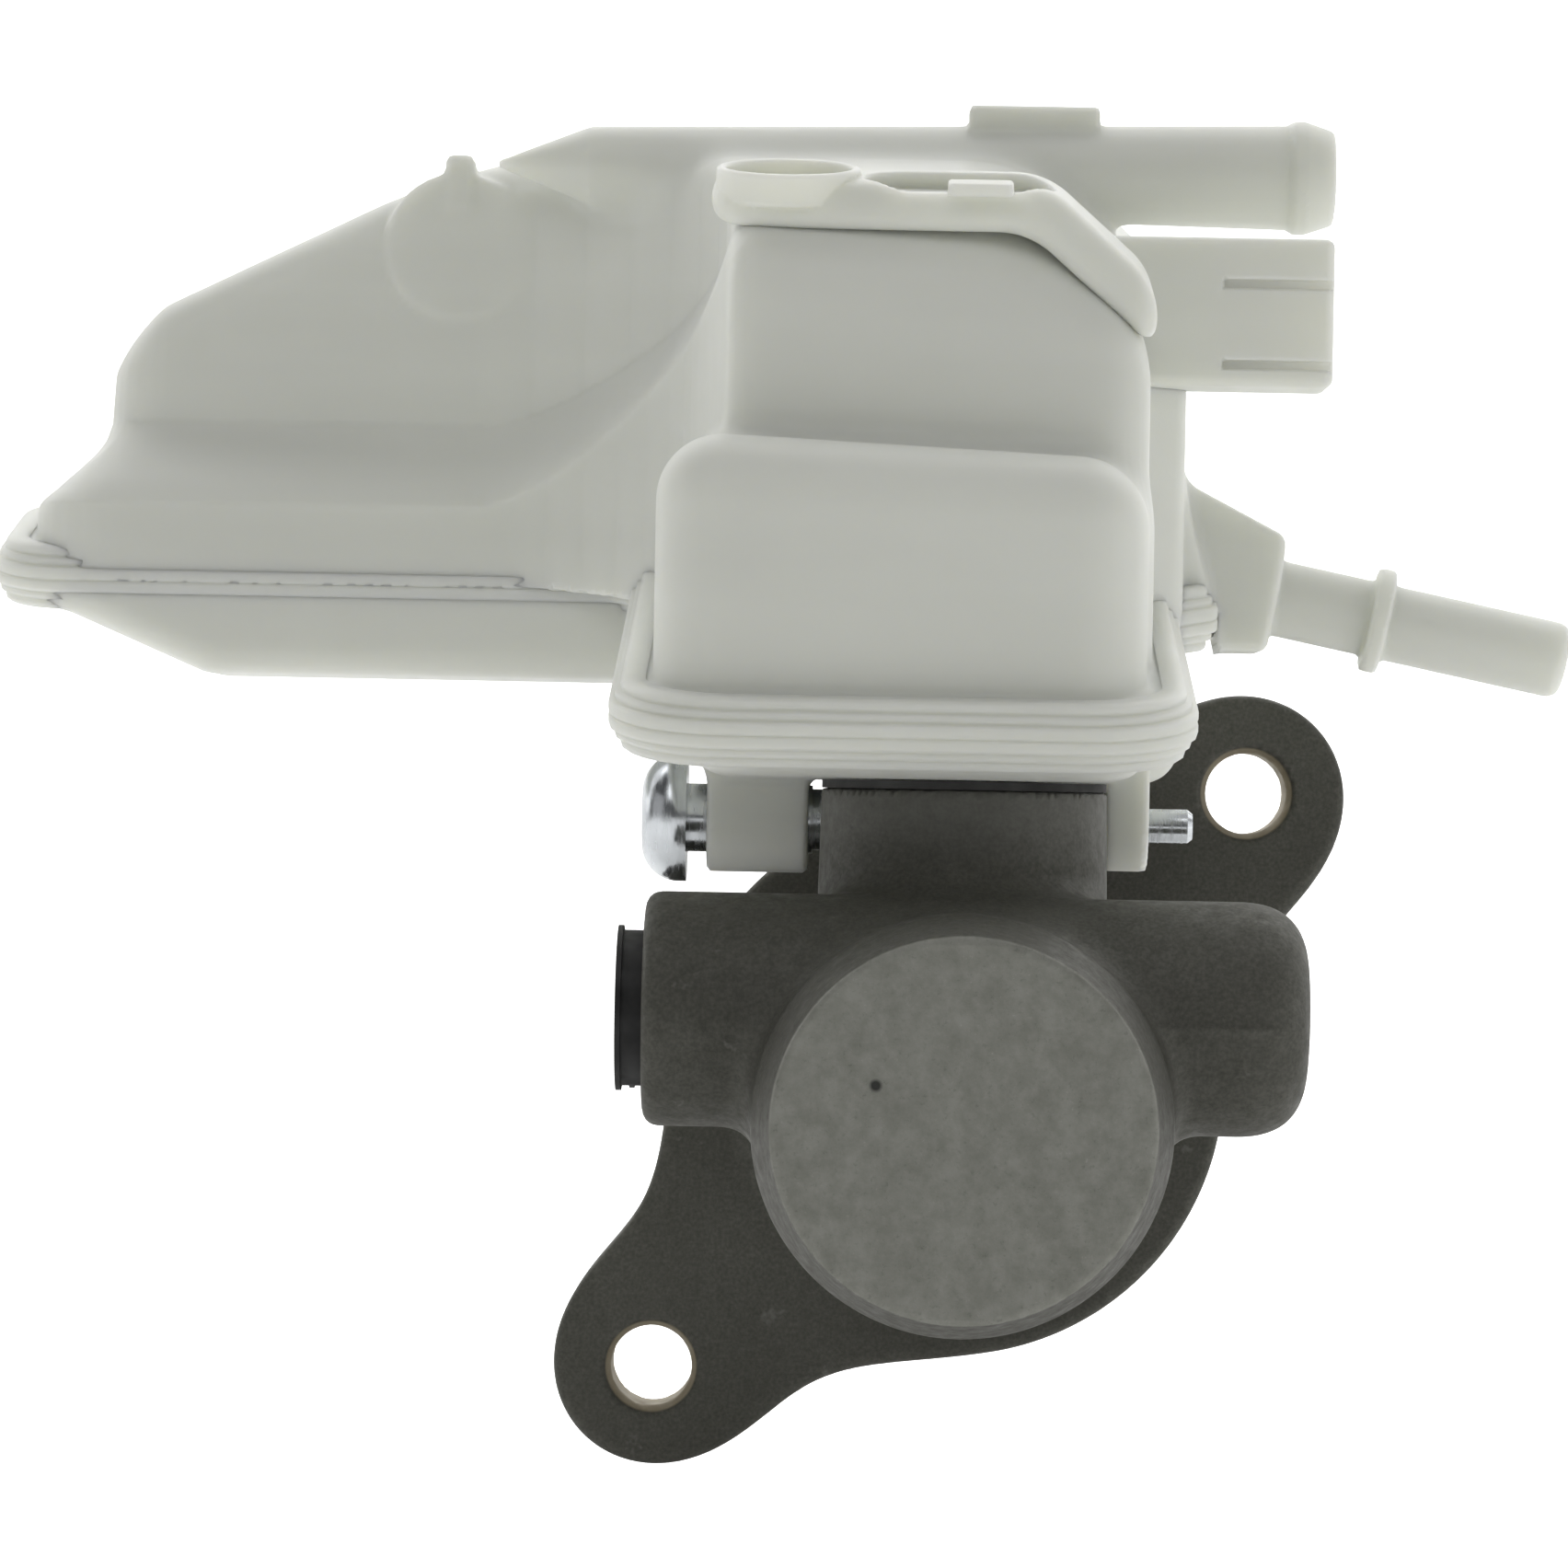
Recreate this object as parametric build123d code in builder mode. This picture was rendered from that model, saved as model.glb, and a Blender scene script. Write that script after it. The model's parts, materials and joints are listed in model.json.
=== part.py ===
from build123d import *
import math
import os

os.makedirs("parts", exist_ok=True)

# Tandem brake master cylinder with a welded two-shell fluid reservoir.
# Frame: the bore runs along Y with the nose towards -Y. The origin is where the bore axis
# meets the flange's rear face, +Z is up, millimetres throughout.

# ---- cylinder body ----
FLANGE_T = 10.0
FLANGE_R = 29.4
LOBE_R = 10.3
HOLE_R = 4.3
HOLE_RIM_R = 4.9
HOLE_PITCH_R = 44.0
WAIST_R = 55.0
NOSE_Y = -122.0
NOSE_R = 17.3
BARREL_R = 19.4
SPIGOT_R = 19.0
SPIGOT_Y = 22.0
BORE_R = 11.1
BORE_END_Y = -112.0
GUIDE_BORE_R = 13.5
GUIDE_Y = 10.0

# ---- outlet bosses (axis along X) and inlet bosses (axis along Z) ----
FRONT_OUT_Y = -97.0
REAR_OUT_Y = -59.0
FRONT_OUT_Z = 9.8
REAR_OUT_Z = 8.4
OUT_R = 11.0
OUT_LEFT_X = -29.8
OUT_RIGHT_X = 32.3
PORT_R = 5.0
PORT_DEPTH = 14.0
PORT_MOUTH_R = 5.6
PORT_MOUTH_DEPTH = 4.0
DRILLING_R = 1.6
FRONT_IN_Y = -84.0
REAR_IN_Y = -27.5
FRONT_IN_R = 13.9
REAR_IN_R = 12.6
IN_TOP_Z = 30.8
WELL_R = 9.5
WELL_Z = 22.0

# ---- pistons ----
LAND_R = 11.05
CUP_R = 11.09
SHANK_R = 8.0
SHANK_END_Y = 24.0
SOCKET_R = 5.0
NECK_R = 9.0
PRIMARY_FRONT_Y = -30.5
SECONDARY_FRONT_Y = -86.0
SECONDARY_REAR_Y = -60.0
PRIMARY_RECESS_Y = -14.0
SECONDARY_RECESS_Y = -74.0

# ---- retaining pin (axis along X) ----
PIN_Y = -66.0
PIN_Z = 27.65
PIN_HEAD_R = 6.3
PIN_SHANK_R = 3.35
PIN_MID_R = 3.0
PIN_TIP_R = 1.68

# ---- reservoir ----
TILT = 12.0
SEAM_Y = -100.0
SEAM_Z = 37.4
WALL = 2.2
RIM_STEP = 1.66
RIM_INSET = 1.3
FLOOR_Z = 31.7
LOBE_FLOOR_Z = 41.5
SPOUT_R = 6.0
SPOUT_BORE_R = 4.2
SPOUT_Z = 24.0
TUBE_Y = -35.0
TUBE_Z = 94.4
TUBE_R = 5.35
TUBE_BORE_R = 3.6
TUBE_LEFT_X = -39.0
TUBE_LEFT_R = 4.0
TUBE_NOSE = 9.5
TUBE_END_X = 37.5
TUBE_BORE_LEFT_X = -34.0
NIPPLE_R = 3.87
NIPPLE_BORE_R = 2.2
NIPPLE_DROP = 11.5
NIPPLE_LENGTH = 31.0
NIPPLE_START = (31.5, -37.5, 51.3)

SEAM = Plane(
    origin=(0, SEAM_Y, SEAM_Z),
    x_dir=(1, 0, 0),
    z_dir=(0, -math.sin(math.radians(TILT)), math.cos(math.radians(TILT))),
)


def across(y):
    """The plane square to the bore at y: local x is X, local y is Z, extrusions run to -Y."""
    return Plane.XZ.offset(-y)


def along_x(x):
    """The plane square to X at x: local x is Y, local y is Z, extrusions run to +X."""
    return Plane.YZ.offset(x)


def prism(plane, corners, inset, low, high):
    """A prism on a rounded outline. Each corner is (x, y, radius); inset moves every side in."""
    with BuildPart() as block:
        with BuildSketch(plane.offset(low)):
            with BuildLine():
                FilletPolyline(
                    *[(x, y) for x, y, radius in corners],
                    radius=[radius for x, y, radius in corners],
                    close=True,
                )
            make_face()
            if inset:
                offset(amount=-inset, kind=Kind.INTERSECTION)
        extrude(amount=high - low)
    return block.part


def turned(points):
    """A solid turned about the bore axis from (radius, y) points."""
    with BuildPart() as solid:
        with BuildSketch(Plane.XY):
            with BuildLine():
                Polyline(*points, close=True)
            make_face()
        revolve(axis=Axis.Y)
    return solid.part


def coil(y0, y1, radius, wire_r, turns):
    """A round-wire compression spring about the bore axis between y0 and y1."""
    height = (y1 - y0) - 2 * wire_r
    start = Plane(origin=(0, y0 + wire_r, 0), x_dir=(1, 0, 0), z_dir=(0, 1, 0))
    with BuildPart() as spring:
        with BuildLine() as path:
            Helix(pitch=height / turns, height=height, radius=radius, center=start.origin,
                  direction=start.z_dir)
        with BuildSketch(Plane(origin=path.line @ 0, z_dir=path.line % 0)):
            Circle(wire_r)
        sweep(path=path.line, is_frenet=True)
    return spring.part


# ======================= cylinder body =======================
barrel = turned([
    (0, NOSE_Y), (NOSE_R, NOSE_Y), (BARREL_R, NOSE_Y + 9), (BARREL_R, -FLANGE_T - 6),
    (BARREL_R + 4, -FLANGE_T), (SPIGOT_R, 0), (SPIGOT_R, SPIGOT_Y - 1.2),
    (SPIGOT_R - 1.2, SPIGOT_Y), (0, SPIGOT_Y),
])
spigot_groove = turned([(17.0, 4.0), (20.0, 4.0), (20.0, 7.4), (17.0, 7.4)])
bore = turned([
    (0, BORE_END_Y), (BORE_R - 2, BORE_END_Y), (BORE_R, BORE_END_Y + 2), (BORE_R, GUIDE_Y),
    (GUIDE_BORE_R, GUIDE_Y), (GUIDE_BORE_R, 19.9), (14.7, 19.9), (14.7, 21.2),
    (GUIDE_BORE_R, 21.2), (GUIDE_BORE_R, SPIGOT_Y + 1), (0, SPIGOT_Y + 1),
])

with BuildPart() as cylinder_body:
    add(barrel)

    # rear outlet boss, on the left only
    with BuildSketch(along_x(OUT_LEFT_X)):
        with Locations((REAR_OUT_Y, REAR_OUT_Z)):
            Circle(OUT_R)
    extrude(amount=-OUT_LEFT_X)

    # front cross boss: outlet on the left, closed round end on the right
    with BuildSketch(along_x(OUT_LEFT_X)):
        with Locations((FRONT_OUT_Y, FRONT_OUT_Z)):
            Circle(OUT_R)
    extrude(amount=OUT_RIGHT_X - OUT_LEFT_X)
    closed_end = edges().sort_by(Axis.X)[-1]
    fillet(closed_end, 4.5)
    port_rims = edges().filter_by(GeomType.CIRCLE).filter_by_position(Axis.X, -29.9, -29.7)
    fillet(port_rims, 0.9)

    # inlet bosses and the rib between them that the retaining pin passes through
    with BuildSketch(Plane.XY):
        with Locations((0, FRONT_IN_Y)):
            Circle(FRONT_IN_R)
        with Locations((0, REAR_IN_Y)):
            Circle(REAR_IN_R)
    extrude(amount=IN_TOP_Z)
    with BuildSketch(Plane.XY):
        with Locations((0, (FRONT_IN_Y + REAR_IN_Y) / 2)):
            Rectangle(17, REAR_IN_Y - FRONT_IN_Y)
    extrude(amount=IN_TOP_Z - 1)
    with BuildSketch(Plane.XY):
        with Locations((0, PIN_Y)):
            Rectangle(17, 8.4)
    extrude(amount=PIN_Z + PIN_MID_R + 0.9)

    # flange: a round plate with one lobe up to the right and one down to the left
    with BuildSketch(across(0)) as flange_face:
        Circle(FLANGE_R)
        with PolarLocations(HOLE_PITCH_R, 2, 45):
            Circle(LOBE_R)
        make_hull()
        # each waist is an arc that touches both the round plate and the lobe
        along = (
            (FLANGE_R + WAIST_R) ** 2 - (LOBE_R + WAIST_R) ** 2 + HOLE_PITCH_R ** 2
        ) / (2 * HOLE_PITCH_R)
        swing = math.degrees(math.acos(along / (FLANGE_R + WAIST_R)))
        for side in (-swing, swing):
            with PolarLocations(FLANGE_R + WAIST_R, 2, 45 + side):
                Circle(WAIST_R, mode=Mode.SUBTRACT)
    extrude(amount=FLANGE_T)

    # bore, guide counterbore and snap ring groove; O-ring groove on the spigot
    add(bore, mode=Mode.SUBTRACT)
    add(spigot_groove, mode=Mode.SUBTRACT)

    # flange bolt holes with a wider rim at the front
    for side in (1, -1):
        reach = side * HOLE_PITCH_R * math.sqrt(0.5)
        with BuildSketch(across(0)):
            with Locations((reach, reach)):
                Circle(HOLE_R)
        extrude(amount=FLANGE_T, mode=Mode.SUBTRACT)
        with BuildSketch(across(-FLANGE_T)):
            with Locations((reach, reach)):
                Circle(HOLE_RIM_R)
        extrude(amount=-1.5, taper=21, mode=Mode.SUBTRACT)

    # outlet ports, each with a drilling from its floor into the bore
    for y, z, slant in ((FRONT_OUT_Y, FRONT_OUT_Z, 25.0), (REAR_OUT_Y, REAR_OUT_Z, 0.0)):
        with BuildSketch(along_x(OUT_LEFT_X)):
            with Locations((y, z)):
                Circle(PORT_R)
        extrude(amount=PORT_DEPTH, mode=Mode.SUBTRACT)
        with BuildSketch(along_x(OUT_LEFT_X)):
            with Locations((y, z)):
                Circle(PORT_MOUTH_R)
        extrude(amount=PORT_MOUTH_DEPTH, mode=Mode.SUBTRACT)
        turn = math.radians(slant)
        drill = Plane(
            origin=(OUT_LEFT_X + PORT_DEPTH - 2, y, z),
            z_dir=(math.cos(turn), -math.sin(turn), 0),
        )
        with BuildSketch(drill):
            Circle(DRILLING_R)
        extrude(amount=13.0, mode=Mode.SUBTRACT)

    # grommet wells, each with its feed and compensation drillings down into the bore
    for y, feed, bypass in ((FRONT_IN_Y, -80.0, -86.7), (REAR_IN_Y, -24.5, -31.2)):
        with BuildSketch(Plane.XY.offset(IN_TOP_Z)):
            with Locations((0, y)):
                Circle(WELL_R)
        extrude(amount=WELL_Z - IN_TOP_Z, mode=Mode.SUBTRACT)
        for hole_y, hole_r in ((feed, 1.0), (bypass, 0.4)):
            with BuildSketch(Plane.XY.offset(WELL_Z)):
                with Locations((0, hole_y)):
                    Circle(hole_r)
            extrude(amount=-WELL_Z + 9.0, mode=Mode.SUBTRACT)

    # cross hole for the retaining pin
    with BuildSketch(along_x(-20)):
        with Locations((PIN_Y, PIN_Z)):
            Circle(PIN_MID_R + 0.15)
    extrude(amount=40, mode=Mode.SUBTRACT)

# ======================= parts in the spigot =======================
with BuildPart() as spigot_o_ring:
    add(turned([(17.02, 4.3), (17.3, 4.02), (18.6, 4.02), (18.98, 4.6), (18.98, 6.8),
                (18.6, 7.38), (17.3, 7.38), (17.02, 7.1)]))

with BuildPart() as guide_ring:
    add(turned([(SHANK_R + 0.05, GUIDE_Y), (GUIDE_BORE_R - 0.02, GUIDE_Y),
                (GUIDE_BORE_R - 0.02, 19.8), (SHANK_R + 0.05, 19.8), (SHANK_R + 0.05, 16.6),
                (10.4, 16.6), (10.4, 13.2), (SHANK_R + 0.05, 13.2)]))

with BuildPart() as guide_seal:
    add(turned([(SHANK_R + 0.02, 13.3), (10.38, 13.3), (10.38, 16.5), (9.6, 16.5),
                (9.1, 14.6), (SHANK_R + 0.02, 16.3)]))

with BuildPart() as snap_ring:
    with BuildSketch(across(21.15)):
        Circle(14.65)
        Circle(11.6, mode=Mode.SUBTRACT)
        with PolarLocations(11.9, 2, 60, 60):
            Circle(1.6)
        with PolarLocations(11.9, 2, 60, 60):
            Circle(0.8, mode=Mode.SUBTRACT)
        with Locations((0, 12.5)):
            Rectangle(9.0, 7.0, mode=Mode.SUBTRACT)
    extrude(amount=1.2)

# ======================= primary piston group =======================
with BuildPart() as primary_piston:
    add(turned([
        (6.9, PRIMARY_FRONT_Y), (9.6, PRIMARY_FRONT_Y), (9.6, -30.1), (8.4, -30.1),
        (8.4, -26.0), (LAND_R, -26.0), (LAND_R, -25.6), (NECK_R, -25.6), (NECK_R, 5.0),
        (LAND_R, 5.0), (LAND_R, 5.4), (8.4, 5.4), (8.4, 9.2), (LAND_R, 9.2),
        (LAND_R, GUIDE_Y - 0.05), (SHANK_R, GUIDE_Y - 0.05), (SHANK_R, SHANK_END_Y - 0.8),
        (SHANK_R - 0.8, SHANK_END_Y), (SOCKET_R + 0.6, SHANK_END_Y),
        (SOCKET_R, SHANK_END_Y - 0.6), (SOCKET_R, 10.0), (0, 8.0), (0, -5.0), (2.0, -6.0),
        (2.0, PRIMARY_RECESS_Y), (6.9, PRIMARY_RECESS_Y),
    ]))

with BuildPart() as primary_front_cup:
    add(turned([(8.42, -30.0), (9.0, -30.0), (9.5, -28.6), (10.4, -30.0), (CUP_R, -30.0),
                (10.9, -26.1), (8.42, -26.1)]))

with BuildPart() as primary_rear_cup:
    add(turned([(8.42, 5.5), (9.0, 5.5), (9.5, 6.9), (10.4, 5.5), (CUP_R, 5.5),
                (10.9, 9.1), (8.42, 9.1)]))

with BuildPart() as guide_screw:
    add(turned([(0, -41.5), (3.4, -41.5), (3.4, -39.1), (1.95, -39.1), (1.95, -6.05),
                (0, -5.1)]))
    with BuildSketch(across(-41.5)):
        RegularPolygon(1.6, 6)
    extrude(amount=-1.4, mode=Mode.SUBTRACT)

with BuildPart() as primary_spring:
    add(coil(-58.9, PRIMARY_RECESS_Y - 0.05, 5.7, 0.85, 6.5))

# ======================= secondary piston group =======================
with BuildPart() as secondary_piston:
    add(turned([
        (6.4, SECONDARY_FRONT_Y), (9.6, SECONDARY_FRONT_Y), (9.6, -85.6), (8.4, -85.6),
        (8.4, -81.5), (LAND_R, -81.5), (LAND_R, -81.1), (NECK_R, -81.1), (NECK_R, -65.6),
        (LAND_R, -65.6), (LAND_R, -65.2), (8.4, -65.2), (8.4, -61.4), (9.6, -61.4),
        (9.6, SECONDARY_REAR_Y), (0, SECONDARY_REAR_Y), (0, SECONDARY_RECESS_Y),
        (6.4, SECONDARY_RECESS_Y),
    ]))

with BuildPart() as secondary_front_cup:
    add(turned([(8.42, -85.5), (9.0, -85.5), (9.5, -84.1), (10.4, -85.5), (CUP_R, -85.5),
                (10.9, -81.6), (8.42, -81.6)]))

with BuildPart() as secondary_rear_cup:
    add(turned([(8.42, -65.1), (10.9, -65.1), (CUP_R, -61.5), (10.4, -61.5), (9.5, -63.0),
                (9.0, -61.5), (8.42, -61.5)]))

with BuildPart() as spring_retainer:
    add(turned([(3.6, -59.95), (8.2, -59.95), (8.2, -59.0), (4.6, -59.0), (4.6, -38.1),
                (2.1, -38.1), (2.1, -39.0), (3.6, -39.0)]))

with BuildPart() as secondary_spring:
    add(coil(-111.9, SECONDARY_RECESS_Y - 0.05, 5.3, 0.8, 7.5))

# ======================= grommets, port plugs and retaining pin =======================
grommet_at = {}
for grommet_name, inlet_y, lip_r in (
    ("front_grommet", FRONT_IN_Y, FRONT_IN_R - 0.3), ("rear_grommet", REAR_IN_Y, REAR_IN_R - 0.3),
):
    with BuildPart() as grommet:
        with BuildSketch(Plane.XY.offset(WELL_Z)):
            with Locations((0, inlet_y)):
                Circle(WELL_R - 0.02)
        extrude(amount=IN_TOP_Z - WELL_Z)
        with BuildSketch(Plane.XY.offset(IN_TOP_Z)):
            with Locations((0, inlet_y)):
                Circle(lip_r)
        extrude(amount=0.8)
        with BuildSketch(Plane.XY.offset(WELL_Z)):
            with Locations((0, inlet_y)):
                Circle(SPOUT_R + 0.02)
        extrude(amount=12, mode=Mode.SUBTRACT)
    grommet_at[grommet_name] = grommet

plug_at = {}
for plug_name, outlet_y, outlet_z in (
    ("front_port_plug", FRONT_OUT_Y, FRONT_OUT_Z), ("rear_port_plug", REAR_OUT_Y, REAR_OUT_Z),
):
    with BuildPart() as plug:
        with BuildSketch(along_x(OUT_LEFT_X)):
            with Locations((outlet_y, outlet_z)):
                Circle(7.3)
        extrude(amount=-2.0)
        with BuildSketch(along_x(OUT_LEFT_X - 2.0)):
            with Locations((outlet_y, outlet_z)):
                Circle(7.75)
        extrude(amount=-0.5)
        with BuildSketch(along_x(OUT_LEFT_X)):
            with Locations((outlet_y, outlet_z)):
                Circle(PORT_MOUTH_R - 0.03)
        extrude(amount=PORT_MOUTH_DEPTH - 0.1)
        with BuildSketch(along_x(OUT_LEFT_X - 1.3)):
            with Locations((outlet_y, outlet_z)):
                Circle(PORT_MOUTH_R - 1.3)
        extrude(amount=6.0, mode=Mode.SUBTRACT)
    plug_at[plug_name] = plug

with BuildPart() as retaining_pin:
    for x0, x1, radius in (
        (-26.9, -14.6, PIN_SHANK_R), (-14.6, 12.0, PIN_MID_R), (12.0, 22.2, PIN_TIP_R),
    ):
        with BuildSketch(along_x(x0)):
            with Locations((PIN_Y, PIN_Z)):
                Circle(radius)
        extrude(amount=x1 - x0)
    with BuildSketch(along_x(22.2)):
        with Locations((PIN_Y, PIN_Z)):
            Circle(PIN_TIP_R)
    extrude(amount=0.5, taper=40)
    # domed head: a disc with a spherical front
    with BuildSketch(along_x(-26.9)):
        with Locations((PIN_Y, PIN_Z)):
            Circle(PIN_HEAD_R)
    extrude(amount=-4.4)
    dome_rim = edges().sort_by(Axis.X)[0]
    fillet(dome_rim, 3.6)
    with BuildSketch(along_x(-31.3)):
        with Locations((PIN_Y, PIN_Z)):
            RegularPolygon(2.4, 6)
    extrude(amount=2.2, mode=Mode.SUBTRACT)

# ======================= reservoir =======================
# The weld rim's outline, in the tilted seam plane.
RIM = [
    (-33.6, -10.2, 11), (21.5, -10.2, 11), (21.5, 49.0, 3), (25.8, 53.0, 3),
    (25.8, 94.0, 6), (-100.1, 94.0, 8), (-100.1, 63.4, 8), (-33.6, 63.4, 3),
]
# Side walls seen from above: the tub below the seam, and above it the low front box,
# the low band along the side lobe and the tall chamber.
TUB = [
    (-26.6, -105.5, 8), (17.4, -105.5, 8), (17.4, -58.0, 3), (22.0, -53.0, 3),
    (22.0, -12.0, 5), (-26.6, -12.0, 5),
]
FRONT_BOX = [(-29.5, -106.0, 9), (16.6, -106.0, 9), (16.6, -60.0, 2), (-29.5, -60.0, 2)]
BAND = [
    (-96.6, -38.0, 7), (-29.5, -38.0, 20), (-29.5, -98.0, 2), (12.0, -98.0, 2),
    (17.0, -58.0, 3), (22.0, -53.0, 3), (22.0, -12.0, 5), (-96.6, -12.0, 6),
]
TALL = [
    (-90.0, -30.0, 6), (-25.5, -30.0, 27), (-22.8, -94.0, 5), (17.0, -94.0, 5),
    (17.0, -59.0, 3), (21.4, -53.0, 3), (21.4, -12.0, 5), (-90.0, -12.0, 6),
]
# The tall chamber's outline seen from the front: x and z.
TALL_FRONT = [
    (-93.5, 20.0, 1), (-91.2, 66.0, 1), (-90.2, 73.6, 2), (-83.5, 79.9, 4),
    (-60.8, 91.0, 4), (-51.2, 95.0, 4), (-41.0, 99.0, 2), (26.4, 99.0, 3),
    (26.4, 20.0, 1),
]
FRONT_BOX_Z = 63.4
# The right wall flares out to the weld rim behind the front chamber: x and z.
FLARE = [(12.0, 40.0, 1), (25.6, 40.0, 1), (25.6, 51.0, 1), (21.4, 62.5, 1), (12.0, 62.5, 1)]
FLARE_Y = (-12.0, -46.5)
# The roof is cut off by a shoulder on the right, and its front edge is bevelled more and
# more towards that shoulder.
SHOULDER = Plane(origin=(5.6, -92, 84.2), x_dir=(0, 1, 0.2126), z_dir=(0.656, -0.157, 0.738))
BROW = Plane(origin=(-23, -94, 83.0), x_dir=(40, 0, -9), z_dir=(0.132, -0.8, 0.585))
SHELF_LOW_Z = 58.7
SHELF_HIGH_Z = 67.4
ROOF_RISE = 44.2


def upper_form(inset):
    """The upper shell's solid shape above the seam, with every wall moved in by inset."""
    with BuildPart() as front_box:
        add(prism(Plane.XY, FRONT_BOX, inset, 30, FRONT_BOX_Z - inset))
        fillet(faces().sort_by(Axis.Z)[-1].outer_wire().edges(), 4.5 - inset)
    with BuildPart() as shelf:
        shelf_base = SHELF_LOW_Z - 0.41 * inset
        add(prism(Plane.XY, BAND, inset, 30, shelf_base))
        slope_start = faces().sort_by(Axis.Z)[-1]
        extrude(slope_start, amount=SHELF_HIGH_Z - inset - shelf_base, taper=45)
    with BuildPart() as tall:
        add(prism(Plane.XY, TALL, inset, 30, 104))
        add(prism(across(0), TALL_FRONT, inset, 0, 120), mode=Mode.INTERSECT)
        split(bisect_by=SEAM.offset(ROOF_RISE - inset), keep=Keep.BOTTOM)
        for cut in (SHOULDER, BROW):
            split(bisect_by=cut.offset(-inset), keep=Keep.BOTTOM)
    flare_length = FLARE_Y[0] - FLARE_Y[1] - inset
    with BuildPart() as form:
        add(tall.part)
        add(shelf.part)
        add(front_box.part)
        add(prism(across(FLARE_Y[0]), FLARE, inset, inset, flare_length))
        split(bisect_by=SEAM, keep=Keep.TOP)
    return form.part


def lower_form(inset):
    """The lower shell's solid shape below the seam, with every wall moved in by inset."""
    with BuildPart() as form:
        add(prism(Plane.XY, TUB, inset, FLOOR_Z + inset, 70))
        if not inset:
            fillet(faces().sort_by(Axis.Z)[0].outer_wire().edges(), 3)
        add(prism(across(-12), [
            (-95.0, 70.0, 1), (-95.0, 48.9, 2), (-77.6, LOBE_FLOOR_Z, 2),
            (-20.0, LOBE_FLOOR_Z, 1), (-20.0, 70.0, 1),
        ], inset, inset, 25.5 - inset))
        split(bisect_by=SEAM, keep=Keep.BOTTOM)
    return form.part


def rim(direction):
    """One shell's weld rim: two steps standing off the seam, the outer one narrower."""
    step = direction * RIM_STEP
    with BuildPart() as flange:
        add(prism(SEAM, RIM, 0, min(0, step), max(0, step)))
        add(prism(SEAM, RIM, RIM_INSET, min(0, 2 * step), max(0, 2 * step)))
    return flange.part


upper_outer = upper_form(0)
upper_inner = upper_form(WALL)
lower_outer = lower_form(0)
lower_inner = lower_form(WALL)

ROOF = SEAM.offset(ROOF_RISE)
COLLAR_H = 4.0
COLLAR = [(-25.2, -90.5, 5), (17.4, -90.5, 2), (17.4, -77.4, 2), (-25.2, -77.4, 5)]
ROUND_WELL = (-17.9, 25.4)
LONG_WELL = (-2.4, 25.4)
SOCKET_X = (16.0, 36.0)
SOCKET_Y = (-62.0, -50.0)
SOCKET_Z = (71.3, 86.0)
SOCKET_WALL = 1.3
SOCKET_DEPTH = 12.5
SLOT_Z = (81.4, 73.4)
BLADE_Z = (81.2, 76.1)
GUIDE_X = -3.0
GUIDE_CENTRE_Y = -76.0
GUIDE_TUBE_R = 3.0
GUIDE_TUBE_BORE_R = 1.6
GUIDE_TUBE_Z = 47.0
GUIDE_TUBE_LENGTH = 39.5
FLOAT_Z = 68.0
FLOAT_H = 10.0
MAGNET_H = 3.0
NIPPLE = Plane(
    origin=NIPPLE_START,
    x_dir=(0, 1, 0),
    z_dir=(math.cos(math.radians(NIPPLE_DROP)), 0, -math.sin(math.radians(NIPPLE_DROP))),
)
BLOCK = [(18.0, 45.5, 0.5), (30.9, 45.5, 2.0), (32.9, 55.0, 0.5), (32.9, 57.2, 1.0), (18.0, 65.0, 0.5)]

# collar around the sensor wells; its right end runs down the shoulder to the socket
with BuildPart() as collar_core:
    add(prism(Plane.XY, COLLAR, -1, 60, 110))
    for top in (ROOF, SHOULDER):
        split(bisect_by=top.offset(-1), keep=Keep.BOTTOM)
with BuildPart() as collar:
    add(prism(Plane.XY, COLLAR, 0, 70, 110))
    for top in (ROOF, SHOULDER):
        split(bisect_by=top.offset(COLLAR_H), keep=Keep.BOTTOM)
    add(collar_core.part, mode=Mode.SUBTRACT)

# the fill of the gusset block: over the rim it stands on the seam, outboard it hangs below
with BuildPart() as block_over_rim:
    add(prism(across(-31), BLOCK, 0, 0, 13))
    split(bisect_by=SEAM, keep=Keep.TOP)
with BuildPart() as block_outboard:
    add(prism(across(-31), BLOCK, 0, 0, 13))
    split(bisect_by=along_x(26.2), keep=Keep.TOP)

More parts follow.
